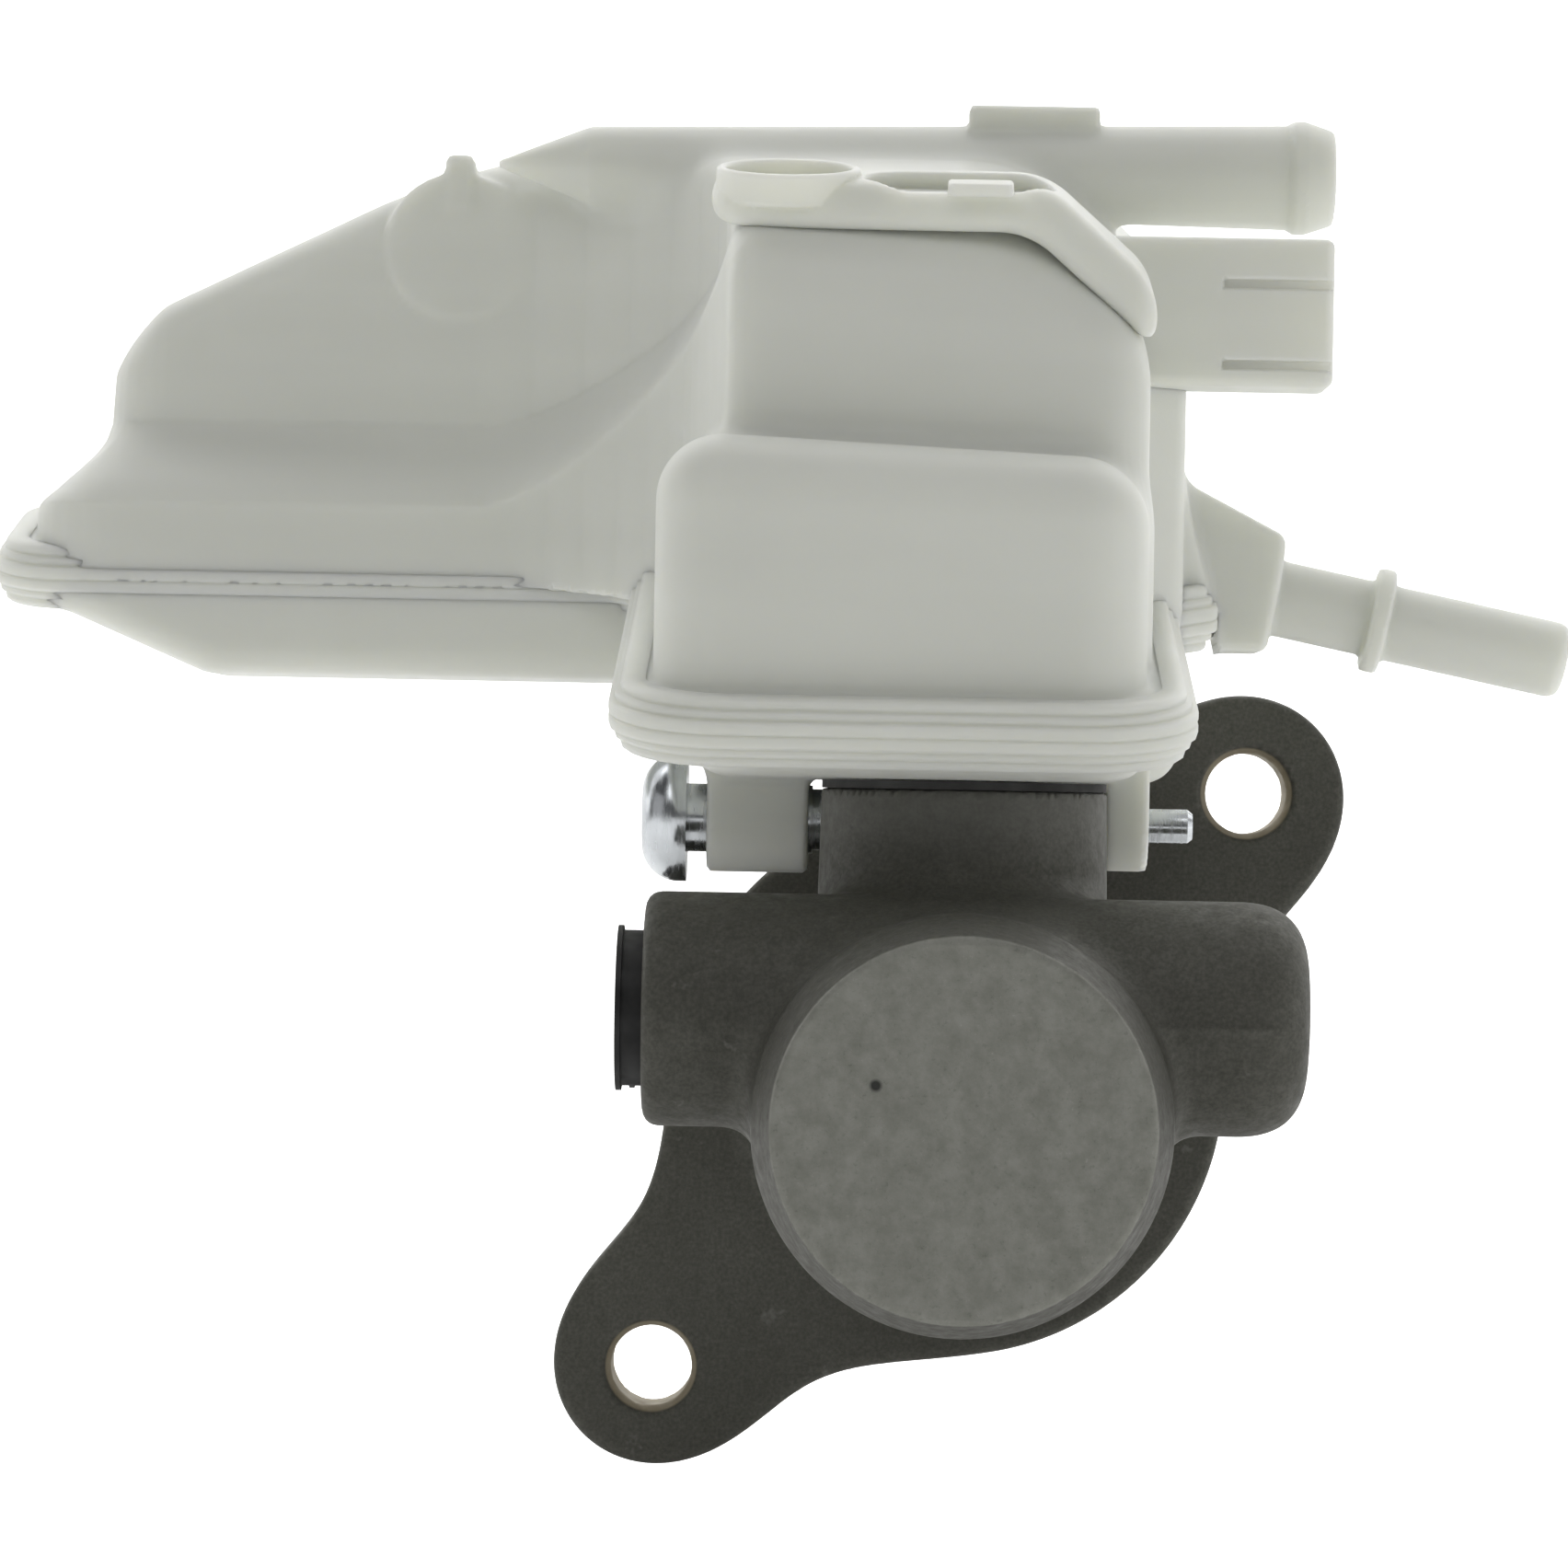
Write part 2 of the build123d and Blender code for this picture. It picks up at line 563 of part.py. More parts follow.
with BuildPart() as upper_shell:
    add(upper_outer)
    add(rim(1))
    add(block_over_rim.part)
    add(block_outboard.part)
    add(collar.part)
    # connector socket
    with BuildSketch(along_x(SOCKET_X[0])):
        with Locations((sum(SOCKET_Y) / 2, sum(SOCKET_Z) / 2)):
            RectangleRounded(SOCKET_Y[1] - SOCKET_Y[0], SOCKET_Z[1] - SOCKET_Z[0], 1.2)
    extrude(amount=SOCKET_X[1] - SOCKET_X[0])
    add(upper_inner, mode=Mode.SUBTRACT)

    # wells in the collar's top
    with BuildSketch(ROOF.offset(COLLAR_H)):
        with Locations(ROUND_WELL):
            Circle(6.9)
    extrude(amount=0.7)
    with BuildSketch(ROOF.offset(COLLAR_H + 0.7)):
        with Locations(ROUND_WELL):
            Circle(6.0)
    extrude(amount=-3.2, mode=Mode.SUBTRACT)
    with BuildSketch(ROOF.offset(COLLAR_H)):
        with Locations(LONG_WELL):
            RectangleRounded(15.6, 12.4, 6.0)
    extrude(amount=-2.6, mode=Mode.SUBTRACT)
    with BuildSketch(ROOF.offset(COLLAR_H)):
        with Locations((0.4, 18.9)):
            RectangleRounded(6.2, 2.4, 0.6)
    extrude(amount=-1.2)

    # dome boss flush with the side lobe's front face, with a small nub on top
    with BuildSketch(across(-24)):
        with Locations((-52.7, 86.3)):
            Circle(7.6)
        with Locations((-52.7, 94.1)):
            RectangleRounded(2.9, 3.2, 0.9)
    extrude(amount=6.3)

    # filler tube along the back of the roof: cone end, tab, tube, hose barb
    tube_length = TUBE_END_X - 4.4 - TUBE_LEFT_X
    tube_flare = math.degrees(math.atan2(TUBE_R - TUBE_LEFT_R, tube_length))
    with BuildSketch(along_x(TUBE_LEFT_X)):
        with Locations((TUBE_Y, TUBE_Z)):
            Circle(TUBE_LEFT_R)
    extrude(amount=tube_length, taper=-tube_flare)
    with BuildSketch(along_x(TUBE_LEFT_X)):
        with Locations((TUBE_Y, TUBE_Z)):
            Circle(TUBE_LEFT_R)
    extrude(amount=-TUBE_NOSE, taper=20)
    with BuildSketch(along_x(TUBE_END_X - 4.4)):
        with Locations((TUBE_Y, TUBE_Z)):
            Circle(TUBE_R + 0.35)
    extrude(amount=1.5)
    with BuildSketch(along_x(TUBE_END_X - 2.9)):
        with Locations((TUBE_Y, TUBE_Z)):
            Circle(TUBE_R + 0.35)
    extrude(amount=2.9, taper=16)
    with BuildSketch(across(-32)):
        with Locations((6.6, 99.4)):
            RectangleRounded(13.4, 3.4, 0.6)
    extrude(amount=6.0)
    with BuildSketch(along_x(TUBE_END_X)):
        with Locations((TUBE_Y, TUBE_Z)):
            Circle(TUBE_BORE_R)
    extrude(amount=TUBE_BORE_LEFT_X - TUBE_END_X, taper=tube_flare, mode=Mode.SUBTRACT)
    with BuildSketch(Plane.XY.offset(TUBE_Z - 1)):
        with Locations((-26, TUBE_Y)):
            Rectangle(14, 4.6)
    extrude(amount=-6.0, mode=Mode.SUBTRACT)

    # clutch supply nipple with its stop ring
    with BuildSketch(NIPPLE):
        Circle(NIPPLE_R)
    extrude(amount=NIPPLE_LENGTH)
    fillet(edges().sort_by(Axis.X)[-1], 1.0)
    with BuildSketch(NIPPLE.offset(10.4)):
        Circle(NIPPLE_R + 1.5)
    extrude(amount=1.9)
    with BuildSketch(NIPPLE.offset(NIPPLE_LENGTH)):
        Circle(NIPPLE_BORE_R - 0.5)
    extrude(amount=-NIPPLE_LENGTH - 13, mode=Mode.SUBTRACT)

    # socket mouth, its key slots, and the blind passages the two blades stand in
    with BuildSketch(along_x(SOCKET_X[1])):
        with Locations((sum(SOCKET_Y) / 2, sum(SOCKET_Z) / 2)):
            RectangleRounded(
                SOCKET_Y[1] - SOCKET_Y[0] - 2 * SOCKET_WALL,
                SOCKET_Z[1] - SOCKET_Z[0] - 2 * SOCKET_WALL, 0.8,
            )
    extrude(amount=-SOCKET_DEPTH, mode=Mode.SUBTRACT)
    with BuildSketch(across(SOCKET_Y[0] + 0.7)):
        with Locations(*[(31.5, slot_z) for slot_z in SLOT_Z]):
            Rectangle(13.0, 0.9)
    extrude(amount=3.0, mode=Mode.SUBTRACT)
    with BuildSketch(along_x(SOCKET_X[1] - SOCKET_DEPTH)):
        with Locations(*[(sum(SOCKET_Y) / 2, blade_z) for blade_z in BLADE_Z]):
            Rectangle(2.84, 0.84)
    extrude(amount=-3.0, mode=Mode.SUBTRACT)

    # float guide tube hanging from the roof, with a blind bore for the reed switch
    with BuildSketch(Plane.XY.offset(GUIDE_TUBE_Z)):
        with Locations((GUIDE_X, GUIDE_CENTRE_Y)):
            Circle(GUIDE_TUBE_R)
    extrude(amount=GUIDE_TUBE_LENGTH)
    with BuildSketch(Plane.XY.offset(GUIDE_TUBE_Z + 3)):
        with Locations((GUIDE_X, GUIDE_CENTRE_Y)):
            Circle(GUIDE_TUBE_BORE_R)
    extrude(amount=GUIDE_TUBE_LENGTH - 6.5, mode=Mode.SUBTRACT)
    with BuildSketch(Plane.XY.offset(GUIDE_TUBE_Z + 0.6)):
        with Locations((GUIDE_X, GUIDE_CENTRE_Y)):
            Circle(GUIDE_TUBE_R + 1)
            Circle(GUIDE_TUBE_R - 0.7, mode=Mode.SUBTRACT)
    extrude(amount=1.2, mode=Mode.SUBTRACT)

with BuildPart() as lower_shell:
    add(lower_outer)
    add(rim(-1))
    # lugs for the retaining pin, hanging either side of the body's rib
    for x0, x1, radius in ((-24.9, -15.0, 5.25), (14.1, 18.3, 4.5)):
        with BuildSketch(along_x(x0)):
            with Locations((PIN_Y, PIN_Z)):
                Circle(radius)
            with Locations((PIN_Y, PIN_Z + 4)):
                Rectangle(2 * radius, 8)
        extrude(amount=x1 - x0)
    # spouts down into the grommets
    for inlet_y in (FRONT_IN_Y, REAR_IN_Y):
        with BuildSketch(Plane.XY.offset(SPOUT_Z)):
            with Locations((0, inlet_y)):
                Circle(SPOUT_R)
        extrude(amount=FLOOR_Z - SPOUT_Z + 1)
    add(lower_inner, mode=Mode.SUBTRACT)
    for inlet_y in (FRONT_IN_Y, REAR_IN_Y):
        with BuildSketch(Plane.XY.offset(SPOUT_Z)):
            with Locations((0, inlet_y)):
                Circle(SPOUT_BORE_R)
        extrude(amount=12, mode=Mode.SUBTRACT)
    for x0, x1, radius in ((-25, -14.9, PIN_SHANK_R + 0.05), (14, 18.4, PIN_TIP_R + 0.07)):
        with BuildSketch(along_x(x0)):
            with Locations((PIN_Y, PIN_Z)):
                Circle(radius)
        extrude(amount=x1 - x0, mode=Mode.SUBTRACT)
    # grooves that hold the divider between the two circuits
    with BuildSketch(across(-47.9)):
        with Locations((-2.3, FLOOR_Z + WALL)):
            Rectangle(44.1, 2.0)
    extrude(amount=2.2, mode=Mode.SUBTRACT)

# ======================= loose parts in the reservoir =======================
with BuildPart() as divider:
    with BuildSketch(across(-48.0)):
        with Locations((-2.3, FLOOR_Z + WALL + 5.0)):
            RectangleRounded(43.8, 11.8, 1.5)
        with Locations((-2.3, FLOOR_Z + WALL + 8.0)):
            SlotOverall(16.0, 3.0, mode=Mode.SUBTRACT)
    extrude(amount=2.0)

with BuildPart() as level_float:
    with BuildSketch(Plane.XY.offset(FLOAT_Z)):
        with Locations((GUIDE_X, GUIDE_CENTRE_Y)):
            Circle(9.2)
            Circle(GUIDE_TUBE_R + 0.35, mode=Mode.SUBTRACT)
    extrude(amount=FLOAT_H)
    outer_rims = edges().filter_by(GeomType.CIRCLE).sort_by(SortBy.RADIUS)[-2:]
    fillet(outer_rims, 1.2)
    with BuildSketch(Plane.XY.offset(FLOAT_Z)):
        with Locations((GUIDE_X, GUIDE_CENTRE_Y)):
            Circle(6.4)
    extrude(amount=MAGNET_H + 0.2, mode=Mode.SUBTRACT)

with BuildPart() as float_magnet:
    with BuildSketch(Plane.XY.offset(FLOAT_Z + 0.1)):
        with Locations((GUIDE_X, GUIDE_CENTRE_Y)):
            Circle(6.38)
            Circle(GUIDE_TUBE_R + 0.6, mode=Mode.SUBTRACT)
    extrude(amount=MAGNET_H)

with BuildPart() as float_clip:
    with BuildSketch(Plane.XY.offset(GUIDE_TUBE_Z + 0.65)):
        with Locations((GUIDE_X, GUIDE_CENTRE_Y)):
            Circle(5.2)
            Circle(GUIDE_TUBE_R - 0.65, mode=Mode.SUBTRACT)
        with Locations((GUIDE_X, GUIDE_CENTRE_Y - 4)):
            Rectangle(3.4, 6.0, mode=Mode.SUBTRACT)
    extrude(amount=1.1)

with BuildPart() as reed_switch:
    with BuildSketch(Plane.XY.offset(52.0)):
        with Locations((GUIDE_X, GUIDE_CENTRE_Y)):
            Circle(1.3)
    extrude(amount=14)
    fillet(edges().filter_by(GeomType.CIRCLE), 1.0)
    with BuildSketch(Plane.XY.offset(50.2)):
        with Locations((GUIDE_X, GUIDE_CENTRE_Y)):
            Circle(0.35)
    extrude(amount=30)

blade_at = {}
for blade_name, blade_z in zip(("upper_terminal", "lower_terminal"), BLADE_Z):
    with BuildPart() as blade:
        with BuildSketch(along_x(SOCKET_X[1] - 15.45)):
            with Locations((sum(SOCKET_Y) / 2, blade_z)):
                Rectangle(2.8, 0.8)
        extrude(amount=11.5)
        chamfer(edges().filter_by(Axis.Y).sort_by(Axis.X)[-2:], 0.3)
    blade_at[blade_name] = blade

# ======================= names and files =======================
pieces = {
    "cylinder_body": cylinder_body,
    "spigot_o_ring": spigot_o_ring,
    "guide_ring": guide_ring,
    "guide_seal": guide_seal,
    "snap_ring": snap_ring,
    "primary_piston": primary_piston,
    "primary_front_cup": primary_front_cup,
    "primary_rear_cup": primary_rear_cup,
    "guide_screw": guide_screw,
    "primary_spring": primary_spring,
    "secondary_piston": secondary_piston,
    "secondary_front_cup": secondary_front_cup,
    "secondary_rear_cup": secondary_rear_cup,
    "spring_retainer": spring_retainer,
    "secondary_spring": secondary_spring,
    "retaining_pin": retaining_pin,
    "lower_shell": lower_shell,
    "upper_shell": upper_shell,
    "divider": divider,
    "level_float": level_float,
    "float_magnet": float_magnet,
    "float_clip": float_clip,
    "reed_switch": reed_switch,
    **grommet_at,
    **plug_at,
    **blade_at,
}
for name, piece in pieces.items():
    piece.part.label = name
    export_step(piece.part, f"parts/{name}.step")
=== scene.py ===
import json
import math

import bpy
import numpy as np
from mathutils import Matrix, Vector


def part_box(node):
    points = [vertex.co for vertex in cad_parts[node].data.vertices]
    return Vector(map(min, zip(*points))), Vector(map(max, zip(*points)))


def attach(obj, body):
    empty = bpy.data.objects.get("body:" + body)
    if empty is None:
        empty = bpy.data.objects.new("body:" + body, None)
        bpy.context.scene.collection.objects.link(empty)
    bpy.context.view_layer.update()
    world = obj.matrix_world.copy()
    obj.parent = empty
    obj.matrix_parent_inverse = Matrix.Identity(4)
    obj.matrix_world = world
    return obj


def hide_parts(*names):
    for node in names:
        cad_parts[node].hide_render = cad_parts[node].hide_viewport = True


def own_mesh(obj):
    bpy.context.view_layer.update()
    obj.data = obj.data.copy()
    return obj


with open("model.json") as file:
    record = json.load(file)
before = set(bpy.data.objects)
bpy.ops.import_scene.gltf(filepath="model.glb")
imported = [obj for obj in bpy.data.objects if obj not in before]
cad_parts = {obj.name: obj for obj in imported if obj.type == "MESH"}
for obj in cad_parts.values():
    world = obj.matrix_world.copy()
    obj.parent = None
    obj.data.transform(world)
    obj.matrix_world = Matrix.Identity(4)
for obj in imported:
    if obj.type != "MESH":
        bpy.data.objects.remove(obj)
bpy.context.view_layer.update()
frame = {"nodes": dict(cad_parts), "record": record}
MM = 0.001
nodes = frame["nodes"]

# ------------------------------------------------------------------ distance fields
# Soft cast and moulded shapes are written as signed distance fields in millimetres,
# in the CAD frame, and meshed once. p is an (n, 3) array of points.


def smin(a, b, k):
    h = np.maximum(k - np.abs(a - b), 0.0) / k
    return np.minimum(a, b) - h * h * k * 0.25


def smax(a, b, k):
    return -smin(-a, -b, k)


def rbox(p, lo, hi, r):
    lo, hi = np.asarray(lo, float), np.asarray(hi, float)
    q = np.abs(p - (lo + hi) / 2) - ((hi - lo) / 2 - r)
    return np.linalg.norm(np.maximum(q, 0), axis=1) + np.minimum(q.max(axis=1), 0) - r


def half(p, origin, normal):
    """Distance in front of a plane."""
    n = np.asarray(normal, float)
    n = n / np.linalg.norm(n)
    return (p - np.asarray(origin, float)) @ n


def capsule_local(p, origin, direction):
    """Distance along and away from a line."""
    d = np.asarray(direction, float)
    d = d / np.linalg.norm(d)
    rel = p - np.asarray(origin, float)
    t = rel @ d
    rho = np.linalg.norm(rel - t[:, None] * d, axis=1)
    return t, rho


def rounded(corners, steps=8):
    """A closed polyline from (x, y, radius) corners."""
    pts, n = [], len(corners)
    for i in range(n):
        b = np.array(corners[i][:2], float)
        a = np.array(corners[i - 1][:2], float) - b
        c = np.array(corners[(i + 1) % n][:2], float) - b
        r = corners[i][2]
        a, c = a / np.linalg.norm(a), c / np.linalg.norm(c)
        half_angle = math.acos(max(-1, min(1, float(a @ c)))) / 2
        if r <= 0 or half_angle > 1.55:
            pts.append(b)
            continue
        reach = r / math.tan(half_angle)
        start, end = b + a * reach, b + c * reach
        bis = (a + c) / np.linalg.norm(a + c)
        centre = b + bis * r / math.sin(half_angle)
        a0 = math.atan2(*(start - centre)[::-1])
        a1 = math.atan2(*(end - centre)[::-1])
        turn = (a1 - a0 + math.pi) % (2 * math.pi) - math.pi
        for s in np.linspace(0, 1, steps):
            ang = a0 + turn * s
            pts.append(centre + r * np.array([math.cos(ang), math.sin(ang)]))
    return np.array(pts)


class Outline:
    """Signed distance to a rounded outline, sampled once on a grid and read back smoothly."""

    def __init__(self, corners, pad=16.0, step=0.5):
        self.points = rounded(corners)
        self.lo = self.points.min(0) - pad
        size = self.points.max(0) + pad - self.lo
        self.step = step
        nx, ny = (size / step).astype(int) + 2
        gx, gy = np.meshgrid(np.arange(nx) * step, np.arange(ny) * step, indexing="ij")
        q = np.stack([gx.ravel(), gy.ravel()], 1) + self.lo
        best = np.full(len(q), 1e9)
        inside = np.zeros(len(q), bool)
        a = self.points
        b = np.roll(a, -1, axis=0)
        for s, e in zip(a, b):
            d = e - s
            length = d @ d
            if length < 1e-12:
                continue
            t = np.clip(((q - s) @ d) / length, 0, 1)
            best = np.minimum(best, np.sum((q - s - t[:, None] * d) ** 2, axis=1))
            crosses = (s[1] > q[:, 1]) != (e[1] > q[:, 1])
            if abs(d[1]) > 1e-12:
                inside ^= crosses & (q[:, 0] < s[0] + (q[:, 1] - s[1]) * d[0] / d[1])
        dist = np.sqrt(best)
        self.grid = np.where(inside, -dist, dist).reshape(nx, ny)

    def __call__(self, u, v):
        x = (u - self.lo[0]) / self.step
        y = (v - self.lo[1]) / self.step
        nx, ny = self.grid.shape
        cx = np.clip(x, 0, nx - 1.001)
        cy = np.clip(y, 0, ny - 1.001)
        i, j = cx.astype(int), cy.astype(int)
        fx, fy = cx - i, cy - j
        g = self.grid
        value = (
            g[i, j] * (1 - fx) * (1 - fy) + g[i + 1, j] * fx * (1 - fy)
            + g[i, j + 1] * (1 - fx) * fy + g[i + 1, j + 1] * fx * fy
        )
        return value + np.hypot(x - cx, y - cy) * self.step


# ------------------------------------------------------------------ meshing
BLOCK = 8


def sample(field, lo, hi, step):
    """The field on a grid, evaluated only in blocks the surface can pass through."""
    lo, hi = np.asarray(lo, float), np.asarray(hi, float)
    blocks = np.ceil((hi - lo) / (step * BLOCK)).astype(int)
    dims = blocks * BLOCK
    centre_axes = [lo[k] + (np.arange(blocks[k]) + 0.5) * BLOCK * step for k in range(3)]
    centres = np.stack(np.meshgrid(*centre_axes, indexing="ij"), -1).reshape(-1, 3)
    rough = field(centres)
    # half a block's diagonal, with room for fields that are steeper than true distance
    reach = BLOCK * step * 0.87 * 1.7 + 1.0
    values = np.repeat(np.repeat(np.repeat(
        np.sign(rough).reshape(blocks) * 9.0, BLOCK, 0), BLOCK, 1), BLOCK, 2).astype(np.float32)
    near = np.argwhere(np.abs(rough.reshape(blocks)) < reach)
    cell = np.stack(np.meshgrid(*[np.arange(BLOCK)] * 3, indexing="ij"), -1).reshape(-1, 3)
    for chunk in np.array_split(near, max(1, len(near) // 400)):
        index = (chunk[:, None, :] * BLOCK + cell[None]).reshape(-1, 3)
        values[index[:, 0], index[:, 1], index[:, 2]] = field(lo + index * step)
    return lo, dims, values


CORNERS = np.array([[i, j, k] for i in (0, 1) for j in (0, 1) for k in (0, 1)])
EDGES = [(a, b) for a in range(8) for b in range(a + 1, 8)
         if np.abs(CORNERS[a] - CORNERS[b]).sum() == 1]


def gradient(field, p, eps=0.06):
    g = np.empty_like(p)
    for k in range(3):
        step = np.zeros(3)
        step[k] = eps
        g[:, k] = (field(p + step) - field(p - step)) / (2 * eps)
    return g


def surface(name, field, lo, hi, step, settle=3):
    """Meshes a field's zero level by surface nets, then settles the vertices onto it."""
    origin, dims, v = sample(field, lo, hi, step)
    inside = v < 0
    n = [d - 1 for d in dims]
    count = np.zeros(n, np.int8)
    for c in CORNERS:
        count += inside[c[0]:c[0] + n[0], c[1]:c[1] + n[1], c[2]:c[2] + n[2]]
    cells = np.argwhere((count > 0) & (count < 8))
    ids = np.full(n, -1, np.int32)
    ids[tuple(cells.T)] = np.arange(len(cells))
    vals = np.stack([v[tuple((cells + c).T)] for c in CORNERS], 1)
    total, hits = np.zeros((len(cells), 3)), np.zeros(len(cells))
    for a, b in EDGES:
        va, vb = vals[:, a], vals[:, b]
        cut = (va < 0) != (vb < 0)
        t = np.where(cut, va / np.where(cut, va - vb, 1), 0)
        total += np.where(cut[:, None], CORNERS[a] + t[:, None] * (CORNERS[b] - CORNERS[a]), 0)
        hits += cut
    points = origin + (cells + total / hits[:, None]) * step
    quads = []
    for axis in range(3):
        u, w = [k for k in range(3) if k != axis]
        a = inside[:-1] if axis == 0 else inside[:, :-1] if axis == 1 else inside[:, :, :-1]
        b = inside[1:] if axis == 0 else inside[:, 1:] if axis == 1 else inside[:, :, 1:]
        for at, flip in ((np.argwhere(a & ~b), axis == 1), (np.argwhere(~a & b), axis != 1)):
            keep = (at[:, u] > 0) & (at[:, w] > 0) & (at[:, u] < n[u]) & (at[:, w] < n[w])
            at = at[keep]
            ring = []
            for du, dw in ((0, 0), (1, 0), (1, 1), (0, 1)):
                q = at.copy()
                q[:, u] -= du
                q[:, w] -= dw
                ring.append(ids[tuple(q.T)])
            ring = np.stack(ring, 1)
            quads.append(ring[:, ::-1] if flip else ring)
    quads = np.concatenate(quads)
    quads = quads[(quads >= 0).all(1)]
    for _ in range(settle):
        d = field(points)
        g = gradient(field, points)
        size = np.maximum(np.linalg.norm(g, axis=1), 0.2)
        points -= (np.clip(d / size, -step, step) / size)[:, None] * g
    normals = gradient(field, points, 0.12)
    normals /= np.maximum(np.linalg.norm(normals, axis=1), 1e-9)[:, None]
    mesh = bpy.data.meshes.new(name)
    mesh.vertices.add(len(points))
    mesh.vertices.foreach_set("co", (points * MM).astype(np.float32).ravel())
    mesh.loops.add(quads.size)
    mesh.loops.foreach_set("vertex_index", quads.astype(np.int32).ravel())
    mesh.polygons.add(len(quads))
    mesh.polygons.foreach_set("loop_start", np.arange(0, quads.size, 4, dtype=np.int32))
    mesh.update(calc_edges=True)
    mesh.validate()
    mesh.polygons.foreach_set("use_smooth", np.ones(len(mesh.polygons), bool))
    if len(mesh.vertices) == len(normals):
        mesh.normals_split_custom_set_from_vertices(normals.tolist())
    obj = bpy.data.objects.new(name, mesh)
    bpy.context.scene.collection.objects.link(obj)
    return obj


# ------------------------------------------------------------------ cylinder body
NOSE_Y = -122.0
NOSE_R = 17.5
NOSE_LENGTH = 9.0
BARREL_FLARE = 1.9
OUT_R = 11.0
OUT_LEFT_X = -29.8
OUT_RIGHT_X = 32.3
FRONT_OUT_Y = -97.0
FRONT_OUT_Z = 9.8
REAR_OUT_Y = -59.0
REAR_OUT_Z = 8.4
PORT_R = 5.0
PORT_END_X = -15.8
PARTING_Z = 9.3
FRONT_IN_Y = -84.0
REAR_IN_Y = -27.5
FRONT_IN_R = 13.6
REAR_IN_R = 12.6
IN_TOP_Z = 30.8
WELL_R = 9.5
WELL_Z = 22.0
PIN_Y = -66.0
PIN_Z = 27.65
PIN_HOLE_R = 3.15
RIB_X = 8.5
FLANGE_R = 29.4
FLANGE_T = 10.0
LOBE_R = 10.3
HOLE_AT = 44 * math.sqrt(0.5)
HOLE_R = 4.3
HOLE_RIM = 0.62
SPIGOT_R = 19.0
SPIGOT_Y = 22.0
O_RING_FLOOR_R = 17.0
O_RING_Y = 5.7
BORE_R = 11.1
BORE_END_Y = -112.0
GUIDE_R = 13.5
GUIDE_Y = 10.0
SNAP_R = 14.7
SNAP_Y = 20.55


def from_holes(x, z):
    """Distance to the nearer of the two flange holes' axes."""
    return np.minimum(np.hypot(x - HOLE_AT, z - HOLE_AT), np.hypot(x + HOLE_AT, z + HOLE_AT))


def from_inlets(x, y):
    """Distance to the nearer of the two inlets' upright axes."""
    return np.minimum(np.hypot(x, y - FRONT_IN_Y), np.hypot(x, y - REAR_IN_Y))


def flange_plate(x, y, z):
    disc = np.hypot(x, z) - FLANGE_R
    lobe = from_holes(x, z) - LOBE_R
    return smax(smin(disc, lobe, 26.0), np.maximum(-FLANGE_T - y, y), 1.2)


def outlet_bosses(x, y, z):
    parting_line = 0.22 * np.exp(-((z - PARTING_Z) / 0.45) ** 2) * (x > 0)
    front = np.hypot(y - FRONT_OUT_Y, z - FRONT_OUT_Z) - OUT_R - parting_line
    front = smax(smax(front, x - OUT_RIGHT_X, 6.5), OUT_LEFT_X - x, 1.8)
    rear = np.hypot(y - REAR_OUT_Y, z - REAR_OUT_Z) - OUT_R
    rear = smax(smax(rear, OUT_LEFT_X - x, 1.8), x, 0.5)
    return smin(front, rear, 2.0)


def inlet_necks(p):
    x, y, z = p.T
    draft = 0.02 * (IN_TOP_Z - z)
    front = np.maximum(np.hypot(x, y - FRONT_IN_Y) - FRONT_IN_R - draft, -z)
    rear = np.maximum(np.hypot(x, y - REAR_IN_Y) - REAR_IN_R, -z)
    rib = rbox(p, (-RIB_X, FRONT_IN_Y, 0), (RIB_X, REAR_IN_Y, IN_TOP_Z - 1), 0.8)
    pin_pad = rbox(p, (-RIB_X, PIN_Y - 4.2, 0), (RIB_X, PIN_Y + 4.2, IN_TOP_Z + 0.75), 0.5)
    necks = smin(smin(front, rear, 1.0), smin(rib, pin_pad, 1.0), 3.0)
    return smax(necks, z - IN_TOP_Z - 0.75 * (np.abs(y - PIN_Y) < 4.3), 0.4)


def bore_and_recesses(x, y, z):
    """The bore with the guide's counterbore and the snap ring's groove behind it."""
    rho = np.hypot(x, z)
    bore = smax(rho - BORE_R, BORE_END_Y - y, 2.0)
    guide = np.maximum(rho - GUIDE_R, GUIDE_Y - y)
    snap = np.maximum(rho - SNAP_R, np.abs(y - SNAP_Y) - 0.65)
    return np.minimum(np.minimum(bore, guide), snap)


